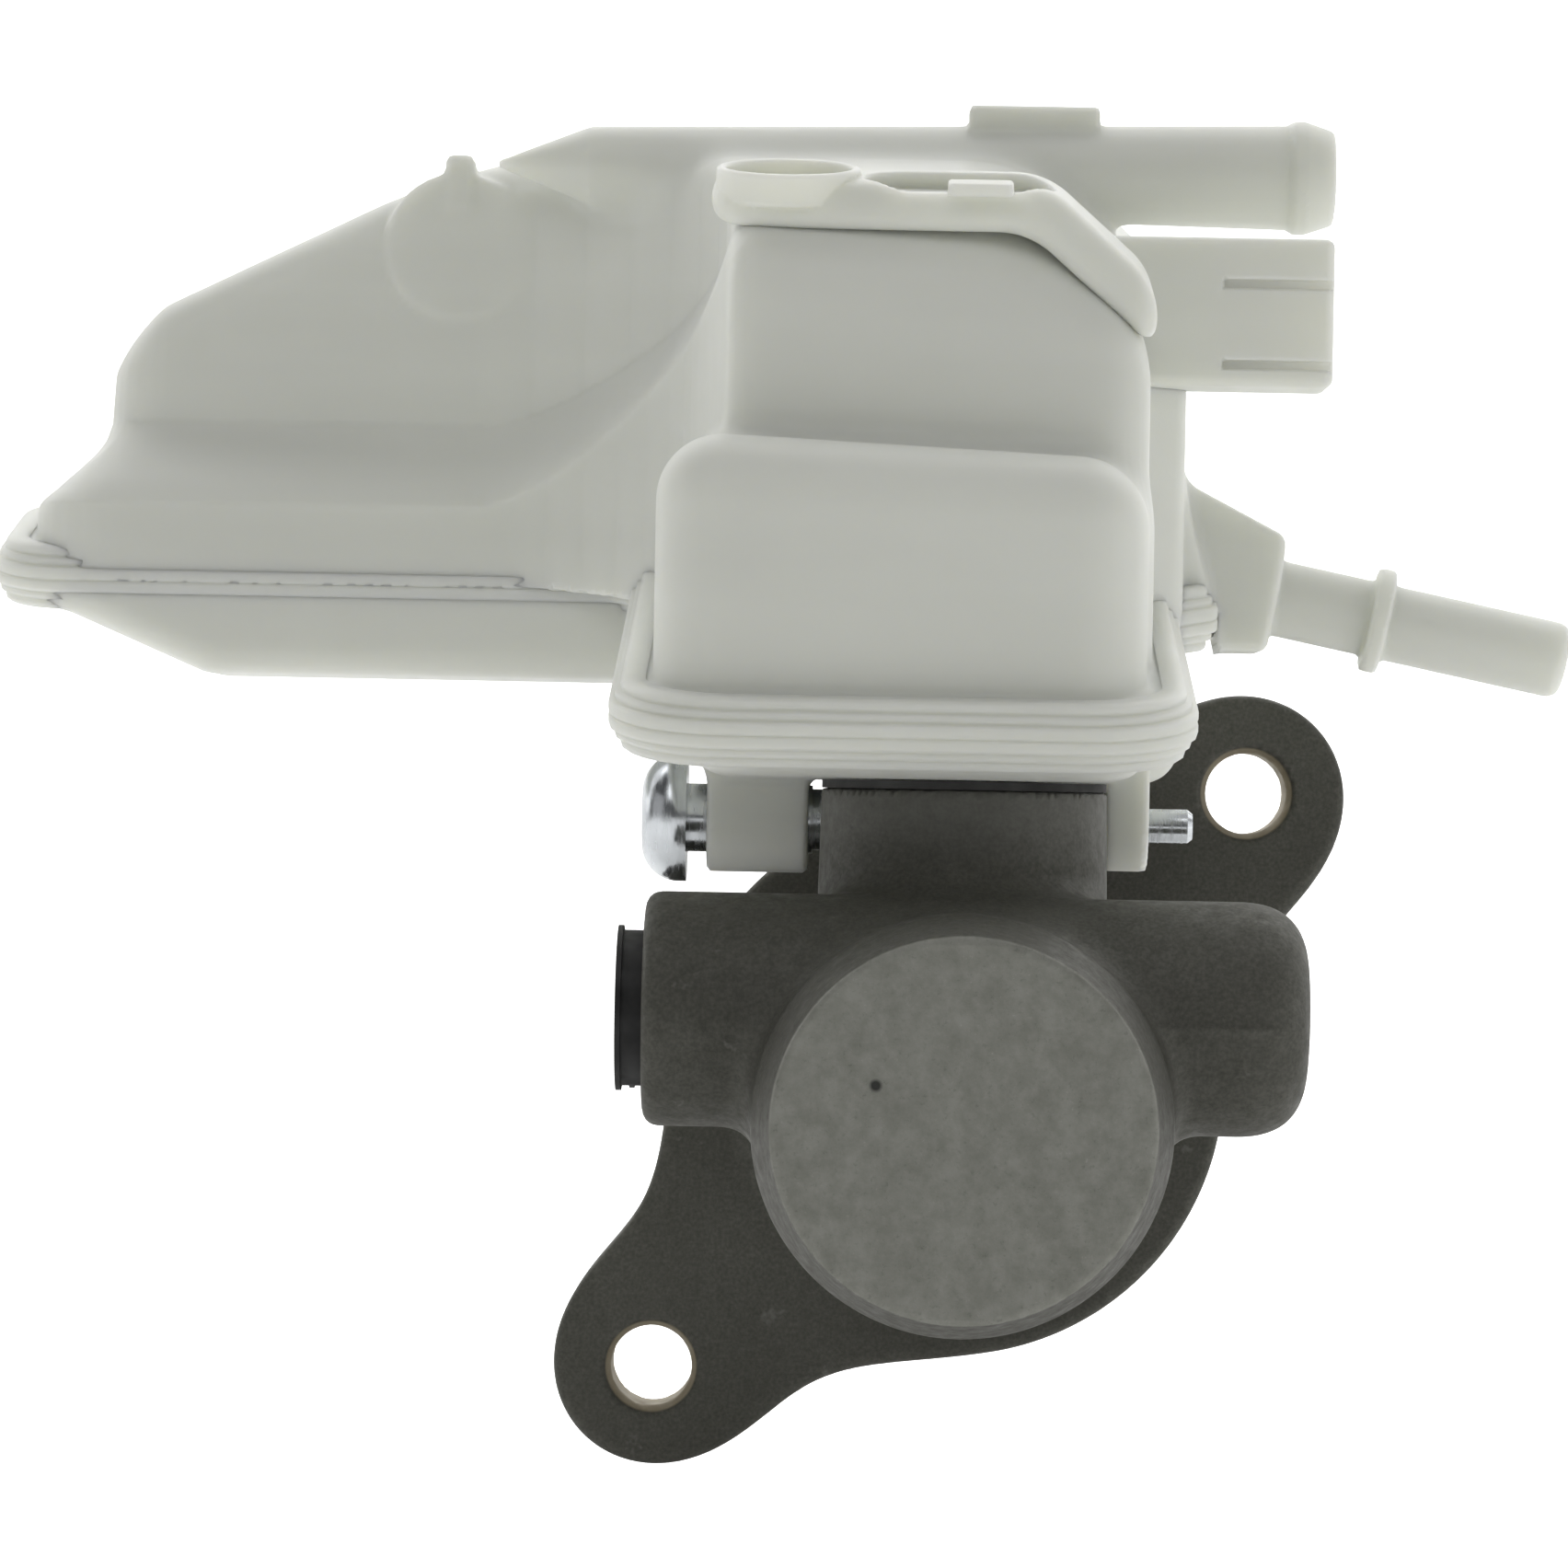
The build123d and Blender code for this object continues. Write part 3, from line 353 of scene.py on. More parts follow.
def body_field(p):
    x, y, z = p.T
    rho = np.hypot(x, z)
    widening = np.clip((y - NOSE_Y) / NOSE_LENGTH, 0, 1)
    barrel = smax((rho - (NOSE_R + BARREL_FLARE * widening)) * 0.97, NOSE_Y - y, 0.5)
    barrel = np.maximum(barrel, y + FLANGE_T / 2)
    plate = flange_plate(x, y, z)
    d = smin(smin(barrel, outlet_bosses(x, y, z), 3.2), inlet_necks(p), 4.0)
    d = smin(d, plate, 5.0)
    d = np.where(y < -4, d, np.minimum(barrel, plate))
    spigot = smax(rho - SPIGOT_R, np.maximum(y - SPIGOT_Y, -FLANGE_T / 2 - y), 1.2)
    d = np.minimum(d, spigot)
    d = np.maximum(d, -np.maximum(O_RING_FLOOR_R - rho, np.abs(y - O_RING_Y) - 1.7))
    d = smax(d, -bore_and_recesses(x, y, z), 0.25)
    # flange holes with a flared front rim
    hole_r = HOLE_R + HOLE_RIM * np.clip((-8.5 - y) / 1.5, 0, 1)
    d = smax(d, -np.maximum(from_holes(x, z) - hole_r, np.abs(y + 5) - 9), 0.25)
    # outlet ports, grommet wells and the pin's cross hole
    outlets = np.minimum(np.hypot(y - FRONT_OUT_Y, z - FRONT_OUT_Z),
                         np.hypot(y - REAR_OUT_Y, z - REAR_OUT_Z))
    d = smax(d, -np.maximum(outlets - PORT_R, x - PORT_END_X), 0.3)
    d = smax(d, -np.maximum(from_inlets(x, y) - WELL_R, WELL_Z - z), 0.3)
    pin_hole = np.maximum(np.hypot(y - PIN_Y, z - PIN_Z) - PIN_HOLE_R, np.abs(x) - 20)
    return smax(d, -pin_hole, 0.3)


# ------------------------------------------------------------------ reservoir
# The moulded shells lean 12 degrees: (u, v, w) are X, up the slope, and off the seam.
LEAN = math.radians(12)
SEAM_O = np.array([0.0, -100.0, 37.4])
SLOPE = np.array([0.0, math.cos(LEAN), math.sin(LEAN)])
OFF = np.array([0.0, -math.sin(LEAN), math.cos(LEAN)])

RIM = Outline([(-33.6, -10.2, 11), (21.5, -10.2, 11), (21.5, 49, 3), (25.8, 53, 3),
               (25.8, 94, 6), (-100.1, 94, 8), (-100.1, 63.4, 8), (-33.6, 63.4, 3)])
LOW = Outline([(-96.6, -38, 8), (-29.5, -38, 19), (-23.2, -94, 3), (16.9, -94, 5),
               (16.8, -59, 4), (22, -53, 4), (22, -12, 6), (-96.6, -12, 8)])
HIGH = Outline([(-90, -30, 7), (-25.5, -30, 26), (-22.6, -94, 2.5), (17, -94, 5),
                (17, -59, 4), (21.4, -53, 4), (21.4, -12, 6), (-90, -12, 8)])
FRONT_VIEW = Outline([(-99.5, 20, 1), (-98, 59, 1), (-91.2, 66, 3), (-90.2, 73.6, 3), (-83.5, 79.9, 6),
                      (-60.8, 91, 8), (-51.2, 95, 5), (-41, 99, 4), (30, 99, 3), (30, 20, 1)])
TUB = Outline([(-26.6, -105.5, 8), (17.4, -105.5, 8), (17.4, -58, 3), (22, -53, 3),
               (22, -12, 5), (-26.6, -12, 5)])
LOBE_TUB = Outline([(-95, 70, 1), (-95, 48.9, 3), (-77.6, 41.5, 3), (-20, 41.5, 1), (-20, 70, 1)])
COLLAR = Outline([(-25.2, -90.5, 6), (17.4, -90.5, 2), (17.4, -77.4, 2), (-25.2, -77.4, 5)])
ROOF_O = SEAM_O + OFF * 44.2
WALL = 2.2
# Slanted cuts of the upper shell, each a point and an outward normal.
SHOULDER = ((5.6, -92, 84.2), (0.656, -0.157, 0.738))
BROW = ((-23, -94, 83.0), (0.132, -0.8, 0.585))
FLARE = ((21.4, 0, 62.5), (11.5, 0, 4.2))
# The shelf along the side lobe: its edge and root heights, and how far each climbs in the sweep.
SHELF_EDGE_Z = 58.7
SHELF_EDGE_CLIMB = 18.5
SHELF_ROOT_Z = 67.5
SHELF_ROOT_CLIMB = 12.5
SHELF_LEAST = 4
SWEEP_X = -50
SWEEP_LENGTH = 24
FRONT_BOX_LEFT_X = -29.5
FRONT_BOX_Z = 63.4
FRONT_BOX_FALL = 0.045


def seam_uvw(p, origin=SEAM_O):
    rel = p - origin
    return p[:, 0], rel @ SLOPE, rel @ OFF


def shelved_wall(x, y, z):
    """The side wall, wider below the shelf than above it; the shelf climbs into the front."""
    along = (x - SWEEP_X) / SWEEP_LENGTH
    sweep = np.clip(along, 0, 1.3) ** 1.5
    edge = SHELF_EDGE_Z + SHELF_EDGE_CLIMB * sweep
    root = np.maximum(SHELF_ROOT_Z + SHELF_ROOT_CLIMB * sweep, edge + SHELF_LEAST)
    t = np.clip((z - edge) / np.maximum(root - edge, 1.5), 0, 1)
    t = t * t * (3 - 2 * t) * 0.35 + t * 0.65
    low, high = LOW(x, y), HIGH(x, y)
    # divided by its own slope, up the shelf and along its sweep, so the wall stays even
    climb = 1.16 * np.sqrt(np.clip(along, 0, 1.3))
    rise = (high - low) / np.maximum(root - edge, 1.5) * np.clip(8 * t * (1 - t), 0, 1)
    return (low * (1 - t) + high * t) / np.sqrt(1 + rise ** 2 * (1 + climb ** 2))


def chamber(p):
    """The hull of the upper shell before its cavity, collar and pipes."""
    x, y, z = p.T
    d = smax(shelved_wall(x, y, z), FRONT_VIEW(x, z), 6.0)
    roof_round = 3.0 + 4.0 * np.clip((-24 - x) / 8, 0, 1)
    d = smax(d, (p - ROOF_O) @ OFF, roof_round)
    d = smax(d, half(p, *SHOULDER), 4.0)
    d = smax(d, half(p, *BROW), 7.0)
    # the low front box, whose lid falls a little to the right
    lid = FRONT_BOX_Z + 0.5 - FRONT_BOX_FALL * (x - FRONT_BOX_LEFT_X)
    q = np.stack([x, y, z - lid + FRONT_BOX_Z], 1)
    box = rbox(q, (FRONT_BOX_LEFT_X, -106, 20), (16.6, -70, FRONT_BOX_Z), 6.5)
    # behind the front chamber the right wall flares out to the rim
    flare = smax(rbox(p, (10, -46.5, 38), (25.6, -12, 70), 2.0), half(p, *FLARE), 1.5)
    return smin(smin(d, box, 3.0), flare, 2.5)


NIPPLE_START = (31.5, -37.5, 51.3)
NIPPLE_DROP = math.radians(11.5)
NIPPLE_R = 3.87
NIPPLE_RING_R = 5.37
NIPPLE_LENGTH = 31
NIPPLE_BORE_R = 1.9


def nipple_parts(p):
    direction = (math.cos(NIPPLE_DROP), 0, -math.sin(NIPPLE_DROP))
    t, rho = capsule_local(p, NIPPLE_START, direction)
    tube = smax(rho - NIPPLE_R, np.maximum(-6 - t, t - NIPPLE_LENGTH), 1.6)
    ring = smax(rho - NIPPLE_RING_R, np.abs(t - 11.35) - 0.95, 0.5)
    bore = np.maximum(rho - NIPPLE_BORE_R, -16 - t)
    return smin(tube, ring, 0.6), bore


# The connector's shroud: two grooves outside, and inside the mouth a pocket for each blade.
GROOVE_Z = (81.4, 73.4)
BLADE_Z = (81.2, 76.1)


def nearest_level(z, levels):
    return np.minimum(np.abs(z - levels[0]), np.abs(z - levels[1]))


def socket(p):
    x, y, z = p.T
    outer = rbox(p, (10, -62, 71.3), (36, -50, 86), 0.9)
    mouth = rbox(p, (23.5, -60.7, 72.6), (40, -51.3, 84.7), 0.6)
    grooves = np.maximum(np.maximum(nearest_level(z, GROOVE_Z) - 0.45, 25 - x), y + 61.3)
    blades = np.maximum(nearest_level(z, BLADE_Z) - 0.45, np.abs(y + 56) - 1.45)
    pockets = np.maximum(blades, 20.5 - x)
    return outer, np.minimum(np.minimum(mouth, grooves), pockets)


TUBE_Y = -35
TUBE_Z = 94.4
TUBE_R = 5.35
TUBE_BORE_R = 3.6
TUBE_END_X = 37.5
TUBE_LEFT_X = -48.5
TUBE_BORE_LEFT_X = -34
TUBE_TAPER = 0.0187


def filler(p):
    """The filler tube: a long taper, a pointed left end and a rounded bead at the mouth."""
    x, y, z = p.T
    rho = np.hypot(y - TUBE_Y, z - TUBE_Z)
    radius = TUBE_R - TUBE_TAPER * (33.1 - x) - 3.5 * np.clip((-39 - x) / 9.5, 0, 1)
    radius += 0.45 * np.clip((x - 32.6) / 0.7, 0, 1) - 1.1 * np.clip((x - 34.4) / 3.1, 0, 1)
    tube = smax((rho - radius) * 0.94, np.maximum(TUBE_LEFT_X - x, x - TUBE_END_X), 0.5)
    tab = rbox(p, (-0.1, -38, 96), (13.3, -32, 101.1), 0.5)
    bore = np.maximum(rho - TUBE_BORE_R + TUBE_TAPER * (TUBE_END_X - x), TUBE_BORE_LEFT_X - x)
    return smin(tube, tab, 0.6), bore


# The two wells in the collar, placed on the roof plane: across and up the slope.
ROUND_WELL = (-17.9, 25.4)
LONG_WELL = (-1.6, 25.0)


def collar(p):
    """The raised band round the sensor wells, which runs down the right shoulder."""
    x, y = p[:, 0], p[:, 1]
    top = smax((p - ROOF_O) @ OFF, half(p, *SHOULDER), 2.0)
    band = smax(COLLAR(x, y), np.maximum(top - 3.4, -1.2 - top), 2.4)
    u, v, w = seam_uvw(p, ROOF_O)
    from_round = np.hypot(u - ROUND_WELL[0], v - ROUND_WELL[1])
    ring = smax(from_round - 6.9, np.abs(w - 2.6) - 1.6, 0.5)
    band = np.minimum(band, ring)
    well = np.maximum(from_round - 6.0, 1.5 - w)
    past_straight = np.maximum(np.abs(u - LONG_WELL[0]) - 4.4, 0)
    long_well = np.maximum(np.hypot(past_straight, v - LONG_WELL[1]) - 4.6, 1.8 - w)
    tab = rbox(np.stack([u, v, w], 1), (-2.7, 17.7, 2.5), (3.5, 21.4, 3.75), 0.3)
    band = smax(band, -np.minimum(well, long_well), 0.4)
    return np.minimum(band, tab)


def dome(p):
    """The round boss on the front of the lobe, with a nub above it."""
    x, y, z = p.T
    disc = smax(np.hypot(x + 52.7, z - 86.3) - 7.6, np.maximum(-30.2 - y, y + 24), 0.8)
    nub = rbox(p, (-54.2, -30.3, 90), (-51.2, -26, 95.8), 0.8)
    return smin(disc, nub, 0.8)


def gusset(p):
    """The block the clutch nipple grows out of: over the rim inboard, hanging outboard."""
    w = seam_uvw(p)[2]
    slope = half(p, (32.9, 0, 57.2), (0.46, 0, 0.888))
    slant = half(p, (32.9, 0, 55.0), (0.979, 0, -0.199))
    block = rbox(p, (16, -44, 45.5), (32.9, -31, 70), 1.0)
    block = smax(block, smax(slope, slant, 0.6), 1.0)
    return smax(block, np.minimum(26.2 - p[:, 0], -w), 0.4)


def rim_core(p, side):
    """The flat of a shell's rim; its stepped outer edge is the separate weld bead."""
    u, v, w = seam_uvw(p)
    w = w * side
    return smax(RIM(u, v) + 1.5, np.maximum(w - 2.9, -w), 0.5)


def socket_field(p):
    outer, holes = socket(p)
    return np.maximum(outer, -holes)


def upper_field(p):
    x, y, z = p.T
    hull = chamber(p)
    nipple, nipple_bore = nipple_parts(p)
    pipe, pipe_bore = filler(p)
    solid = smin(hull, dome(p), 0.7)
    solid = smin(solid, pipe, 2.5)
    solid = smin(solid, gusset(p), 1.5)
    solid = smin(solid, nipple, 0.8)
    solid = smin(solid, rim_core(p, 1), 0.9)
    # the float's guide tube is left standing in the cavity
    guide = np.maximum(np.hypot(x + 3, y + 76) - 3.0, np.maximum(47 - z, z - 86))
    inside = np.maximum(hull + WALL, -guide)
    d = np.maximum(solid, -inside)
    d = np.maximum(d, -np.minimum(pipe_bore, nipple_bore))
    # room for the separate connector shroud
    room = np.maximum(rbox(p, (10.5, -61.5, 71.8), (40, -50.5, 85.5), 0.9), 17.5 - x)
    d = np.maximum(d, -room)
    # the shell ends at the seam, but the gusset and nipple hang below it
    below = np.where(x > 26.0, 38 - z, -seam_uvw(p)[2])
    return np.maximum(d, below)


FLOOR_Z = 31.7
SPOUT_R = 6.0
SPOUT_BORE_R = 4.2
SPOUT_Z = 24
# Each lug's left face, right face and end radius.
LUGS = ((-24.9, -15.0, 5.25), (14.1, 18.3, 4.5))


def pin_lugs(p):
    x, y, z = p.T
    lugs = np.full(len(p), 99.0)
    for left, right, r in LUGS:
        eye = np.hypot(y - PIN_Y, np.minimum(z - PIN_Z, 0)) - r
        eye = np.maximum(eye, np.abs(y - PIN_Y) - r)
        lug = smax(eye, np.maximum(left - x, x - right), 0.5)
        lugs = np.minimum(lugs, np.maximum(lug, z - 34))
    return lugs


def lower_field(p):
    x, y, z = p.T
    tub = smax(TUB(x, y), FLOOR_Z - z, 5.0)
    lobe = smax(LOBE_TUB(x, z), np.maximum(-37.5 - y, y + 12), 3.0)
    hull = smin(tub, lobe, 2.0)
    spout = from_inlets(x, y)
    solid = smin(hull, pin_lugs(p), 1.2)
    solid = np.minimum(solid, np.maximum(spout - SPOUT_R, np.maximum(SPOUT_Z - z, z - 34)))
    solid = smin(solid, rim_core(p, -1), 1.2)
    d = np.maximum(solid, -(hull + WALL))
    d = np.maximum(d, -np.maximum(spout - SPOUT_BORE_R, z - 40))
    pin_r = np.where(x < 0, 3.4, 1.75)
    d = np.maximum(d, -(np.hypot(y - PIN_Y, z - PIN_Z) - pin_r))
    return np.maximum(d, seam_uvw(p)[2])


# ------------------------------------------------------------------ meshes
FINE = 0.6
DETAIL = 0.32
body = surface("cast_body", body_field, (-43, -124, -43), (43, 24, 43), FINE)
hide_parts("cylinder_body")
upper = surface("reservoir_top", upper_field, (-101, -113, 33), (64, -6, 103), FINE)
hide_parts("upper_shell")
lower = surface("reservoir_tub", lower_field, (-101, -113, 20), (28, -6, 60), FINE)
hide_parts("lower_shell")


def place_mesh(name, verts, faces, flat=0):
    """A smooth object from vertices in metres; its last `flat` faces are shaded flat."""
    mesh = bpy.data.meshes.new(name)
    mesh.from_pydata(verts, [], faces)
    smooth = np.ones(len(mesh.polygons), bool)
    smooth[len(smooth) - flat:] = False
    mesh.polygons.foreach_set("use_smooth", smooth)
    obj = bpy.data.objects.new(name, mesh)
    bpy.context.scene.collection.objects.link(obj)
    return obj


def skin(count, around, closed):
    """Quads over `count` rings of `around` points; when closed, the last ring meets the first."""
    rows = count if closed else count - 1
    i, j = np.meshgrid(np.arange(rows), np.arange(around), indexing="ij")
    k, q = (i + 1) % count, (j + 1) % around
    quads = np.stack([i * around + j, i * around + q, k * around + q, k * around + j], -1)
    return quads.reshape(-1, 4).tolist()


BEAD_SPACING = 1.5
# Half the bead's profile, from the seam out: how far past the rim's outline, and off the seam.
BEAD_PROFILE = [(-0.05, 0.12), (0.0, 0.3), (0.0, 0.95), (-0.08, 1.2), (-0.5, 1.32), (-0.62, 1.46),
                (-0.56, 1.7), (-0.62, 2.05), (-1.06, 2.2), (-1.16, 2.34), (-1.1, 2.6),
                (-1.2, 3.0), (-1.5, 3.22), (-2.0, 3.32), (-3.4, 3.34)]
BEAD_SEAM = (-0.22, 0.0)


def evenly(path, spacing):
    """The closed path with points added, so that none are much further apart than spacing."""
    ahead = np.roll(path, -1, axis=0)
    keep = np.linalg.norm(ahead - path, axis=1) > 1e-6
    dense = []
    for a, b in zip(path[keep], ahead[keep]):
        count = max(1, int(np.linalg.norm(b - a) / spacing))
        dense += [a + (b - a) * k / count for k in range(count)]
    return np.array(dense)


def outward(path):
    """Unit normals that point out of a closed path, whichever way round it runs."""
    tangent = np.roll(path, -1, axis=0) - np.roll(path, 1, axis=0)
    out = np.stack([tangent[:, 1], -tangent[:, 0]], 1)
    out /= np.linalg.norm(out, axis=1)[:, None]
    ahead = np.roll(path, -1, axis=0)
    return out * np.sign(np.sum(path[:, 0] * ahead[:, 1] - path[:, 1] * ahead[:, 0]))


def weld_bead(name):
    """The two rims' welded edge: one band swept round the seam, with fine moulded steps."""
    path = evenly(RIM.points, BEAD_SPACING)
    out = outward(path)
    section = BEAD_PROFILE[::-1] + [BEAD_SEAM] + [(o, -w) for o, w in BEAD_PROFILE]
    rows = []
    for o, w in section:
        uv = path + out * o
        rows.append(SEAM_O + np.outer(uv[:, 0], (1, 0, 0)) + np.outer(uv[:, 1], SLOPE) + OFF * w)
    verts = np.stack(rows, 1)
    count, around = verts.shape[:2]
    return place_mesh(name, (verts.reshape(-1, 3) * MM).tolist(), skin(count, around, True))


bead = weld_bead("weld_bead")
wells = surface("sensor_collar", collar, (-27, -93, 72), (24, -74, 98), DETAIL)
connector = surface("sensor_socket", socket_field, (8, -64, 69), (38, -48, 88), DETAIL)
for piece in (body, upper, lower, bead, wells, connector):
    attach(piece, "housing")


PRIMARY_WIRE_R = 0.85 * MM
SECONDARY_WIRE_R = 0.8 * MM
END_TURN = 0.6
POINTS_PER_TURN = 48
POINTS_ROUND_WIRE = 16


def spring_line(radius, y0, height, wire_r, turns):
    """The wire's middle line, its tangents and its outward radials; the end turns are closed up."""
    n = np.linspace(0, turns, int(turns * POINTS_PER_TURN) + 1)
    opened = np.clip((np.minimum(n, turns - n) - END_TURN) / END_TURN, 0, 1)
    closed = 2.1 * wire_r
    pitch = closed + (height / turns - closed) * opened / opened.mean()
    rise = np.concatenate([[0], np.cumsum((pitch[1:] + pitch[:-1]) / 2)])
    a = n * 2 * math.pi
    y = y0 + rise * height / rise[-1]
    centre = np.stack([radius * np.cos(a), y, radius * np.sin(a)], 1)
    tangent = np.gradient(centre, axis=0)
    tangent /= np.linalg.norm(tangent, axis=1)[:, None]
    radial = np.stack([np.cos(a), np.zeros_like(a), np.sin(a)], 1)
    return centre, tangent, radial


def coil(name, node, wire_r, turns):
    """A compression spring on the bore axis, as long and as wide as its CAD node."""
    lo, hi = (np.array(corner, float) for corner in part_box(node))
    radius = (hi[0] - lo[0]) / 2 - wire_r
    height = hi[1] - lo[1] - 2 * wire_r
    centre, tangent, radial = spring_line(radius, lo[1] + wire_r, height, wire_r, turns)
    across = np.cross(tangent, radial)
    rings = []
    for phi in np.linspace(0, 2 * math.pi, POINTS_ROUND_WIRE, endpoint=False):
        rings.append(centre + wire_r * (math.cos(phi) * radial + math.sin(phi) * across))
    verts = np.stack(rings, 1)
    count, around = verts.shape[:2]
    caps = [list(range(around))[::-1], list(range((count - 1) * around, count * around))]
    faces = skin(count, around, False) + caps
    obj = place_mesh(name, verts.reshape(-1, 3).tolist(), faces, flat=len(caps))
    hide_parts(node)
    return obj


def shorten(obj, rider):
    """The spring rides its front seat, with a mesh of its own."""
    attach(obj, rider)
    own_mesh(obj)


primary_coil = coil("primary_coil", "primary_spring", PRIMARY_WIRE_R, 6.5)
shorten(primary_coil, "secondary_group")
secondary_coil = coil("secondary_coil", "secondary_spring", SECONDARY_WIRE_R, 7.5)
shorten(secondary_coil, "housing")


# ------------------------------------------------------------------ materials
class Shader:
    """A Principled material with short helpers for procedural detail in the frame's metres."""

    def __init__(self, name, color=(0.5, 0.5, 0.5), rough=0.5, metal=0.0, **extra):
        self.mat = bpy.data.materials.new(name)
        self.mat.use_nodes = True
        self.tree = self.mat.node_tree
        self.bsdf = self.tree.nodes["Principled BSDF"]
        self.out = self.tree.nodes["Material Output"]
        self.set("Base Color", (*color, 1))
        self.set("Roughness", rough)
        self.set("Metallic", metal)
        for key, value in extra.items():
            self.set(key.replace("_", " "), value)
        self.coord = self.node("ShaderNodeTexCoord").outputs["Object"]

    def node(self, kind, **props):
        n = self.tree.nodes.new(kind)
        for key, value in props.items():
            setattr(n, key, value)
        return n

    def link(self, a, b):
        self.tree.links.new(a, b)

    def feed(self, socket, value):
        if isinstance(value, bpy.types.NodeSocket):
            self.link(value, socket)
        else:
            socket.default_value = value

    def set(self, key, value):
        self.feed(self.bsdf.inputs[key], value)

    def noise(self, scale, detail=3.0, rough=0.55, stretch=None):
        n = self.node("ShaderNodeTexNoise")
        n.inputs["Scale"].default_value = scale
        n.inputs["Detail"].default_value = detail
        n.inputs["Roughness"].default_value = rough
        source = self.coord
        if stretch:
            m = self.node("ShaderNodeMapping")
            m.inputs["Scale"].default_value = stretch
            self.link(source, m.inputs["Vector"])
            source = m.outputs["Vector"]
        self.link(source, n.inputs["Vector"])
        return n.outputs["Fac"]

    def ramp(self, value, *stops):
        """Maps a value through (position, grey or colour) stops."""
        n = self.node("ShaderNodeValToRGB")
        while len(n.color_ramp.elements) < len(stops):
            n.color_ramp.elements.new(0.5)
        for element, (at, c) in zip(n.color_ramp.elements, stops):
            element.position = at
            element.color = (c, c, c, 1) if isinstance(c, (int, float)) else (*c, 1)
        self.link(value, n.inputs["Fac"])
        return n.outputs["Color"]

    def mix(self, factor, a, b, blend="MIX"):
        n = self.node("ShaderNodeMix", data_type="RGBA", blend_type=blend)
        self.feed(n.inputs[0], factor)
        for socket, value in ((n.inputs[6], a), (n.inputs[7], b)):
            self.feed(socket, value if isinstance(value, bpy.types.NodeSocket) else (*value, 1))
        return n.outputs[2]

    def math(self, operation, a, b=0.0):
        n = self.node("ShaderNodeMath", operation=operation, use_clamp=False)
        self.feed(n.inputs[0], a)
        self.feed(n.inputs[1], b)
        return n.outputs[0]

    def axis(self, letter):
        n = self.node("ShaderNodeSeparateXYZ")
        self.link(self.coord, n.inputs[0])
        return n.outputs[letter]

    def step(self, value, lo, hi):
        """0 below lo, 1 above hi; lo may be above hi to run the other way."""
        n = self.node("ShaderNodeMapRange")
        self.feed(n.inputs[0], value)
        n.inputs[1].default_value = lo
        n.inputs[2].default_value = hi
        return n.outputs[0]

    def near(self, point, inner, outer):
        """1 within inner of a point in millimetres, falling to 0 at outer."""
        n = self.node("ShaderNodeVectorMath", operation="DISTANCE")
        self.link(self.coord, n.inputs[0])
        n.inputs[1].default_value = [c * MM for c in point]
        return self.step(n.outputs["Value"], outer * MM, inner * MM)

    def column(self, centre, inner, outer):
        """1 within inner of an axis along Y through (x, z) in millimetres, 0 beyond outer."""
        across_x = self.math("SUBTRACT", self.axis("X"), centre[0] * MM)
        across_z = self.math("SUBTRACT", self.axis("Z"), centre[1] * MM)
        square = self.math("ADD", self.math("POWER", across_x, 2.0),
                           self.math("POWER", across_z, 2.0))
        return self.step(self.math("SQRT", square), outer * MM, inner * MM)

    def bump(self, height, distance_mm, strength=1.0, under=None):
        n = self.node("ShaderNodeBump")
        n.inputs["Strength"].default_value = strength
        n.inputs["Distance"].default_value = distance_mm * MM
        self.feed(n.inputs["Height"], height)
        if under is not None:
            self.link(under, n.inputs["Normal"])
        self.set("Normal", n.outputs["Normal"])
        return n.outputs["Normal"]


def cast_alloy():
    s = Shader("cast_alloy", rough=0.62, metal=0.35)
    cloud = s.ramp(s.noise(28, 4), (0.3, (0.066, 0.065, 0.053)), (0.7, (0.1, 0.099, 0.084)))
    grain = s.ramp(s.noise(2600, 2, 0.6), (0.35, 0.8), (0.68, 1.16))
    base = s.mix(1.0, cloud, grain, "MULTIPLY")
    # the sawn nose face is paler, with dark and bright mottling, and one dark spot of painted shade
    # for a pit that has no depth here
    y = s.axis("Y")
    nose = s.step(y, (NOSE_Y + 0.7) * MM, (NOSE_Y + 0.3) * MM)
    mottle = s.ramp(s.noise(360, 7, 0.72), (0.36, (0.205, 0.207, 0.18)), (0.62, (0.27, 0.272, 0.243)))
    flecks = s.ramp(s.noise(1500, 3, 0.8), (0.33, 0.8), (0.42, 1.0), (0.62, 1.0), (0.74, 1.3))
    face = s.mix(1.0, mottle, flecks, "MULTIPLY")
    # painted shade: a dark spot standing in for the shade inside a pit
    face = s.mix(s.near((-8.0, NOSE_Y, 4.0), 0.35, 0.7), face, (0.03, 0.03, 0.028))
    base = s.mix(nose, base, face)
    # scattered worn patches are brighter
    worn = s.ramp(s.noise(190, 4, 0.7), (0.66, 0.0), (0.74, 0.55))
    base = s.mix(worn, base, (0.2, 0.2, 0.18))
    # the neck is blasted paler towards its top, and the flange holes are drilled bright
    z = s.axis("Z")
    neck = s.math("MULTIPLY", s.step(z, 0.0235, 0.0285), s.step(y, -0.068, -0.071))
    base = s.mix(s.math("MULTIPLY", neck, 0.35), base, (0.2, 0.2, 0.185))
    drilled = s.math("MAXIMUM", s.column((HOLE_AT, HOLE_AT), 4.75, 4.95),
                     s.column((-HOLE_AT, -HOLE_AT), 4.75, 4.95))
    base = s.mix(drilled, base, (0.36, 0.32, 0.24))
    s.set("Base Color", base)
    s.set("Metallic", s.math("ADD", 0.35, s.math("MULTIPLY", drilled, 0.5)))
    s.set("Roughness", s.ramp(s.noise(700, 3), (0.3, 0.5), (0.7, 0.74)))
    fine = s.bump(s.noise(2600, 3, 0.65), 0.05, 0.5)
    s.bump(s.noise(260, 3), 0.1, 0.3, fine)
    return s.mat


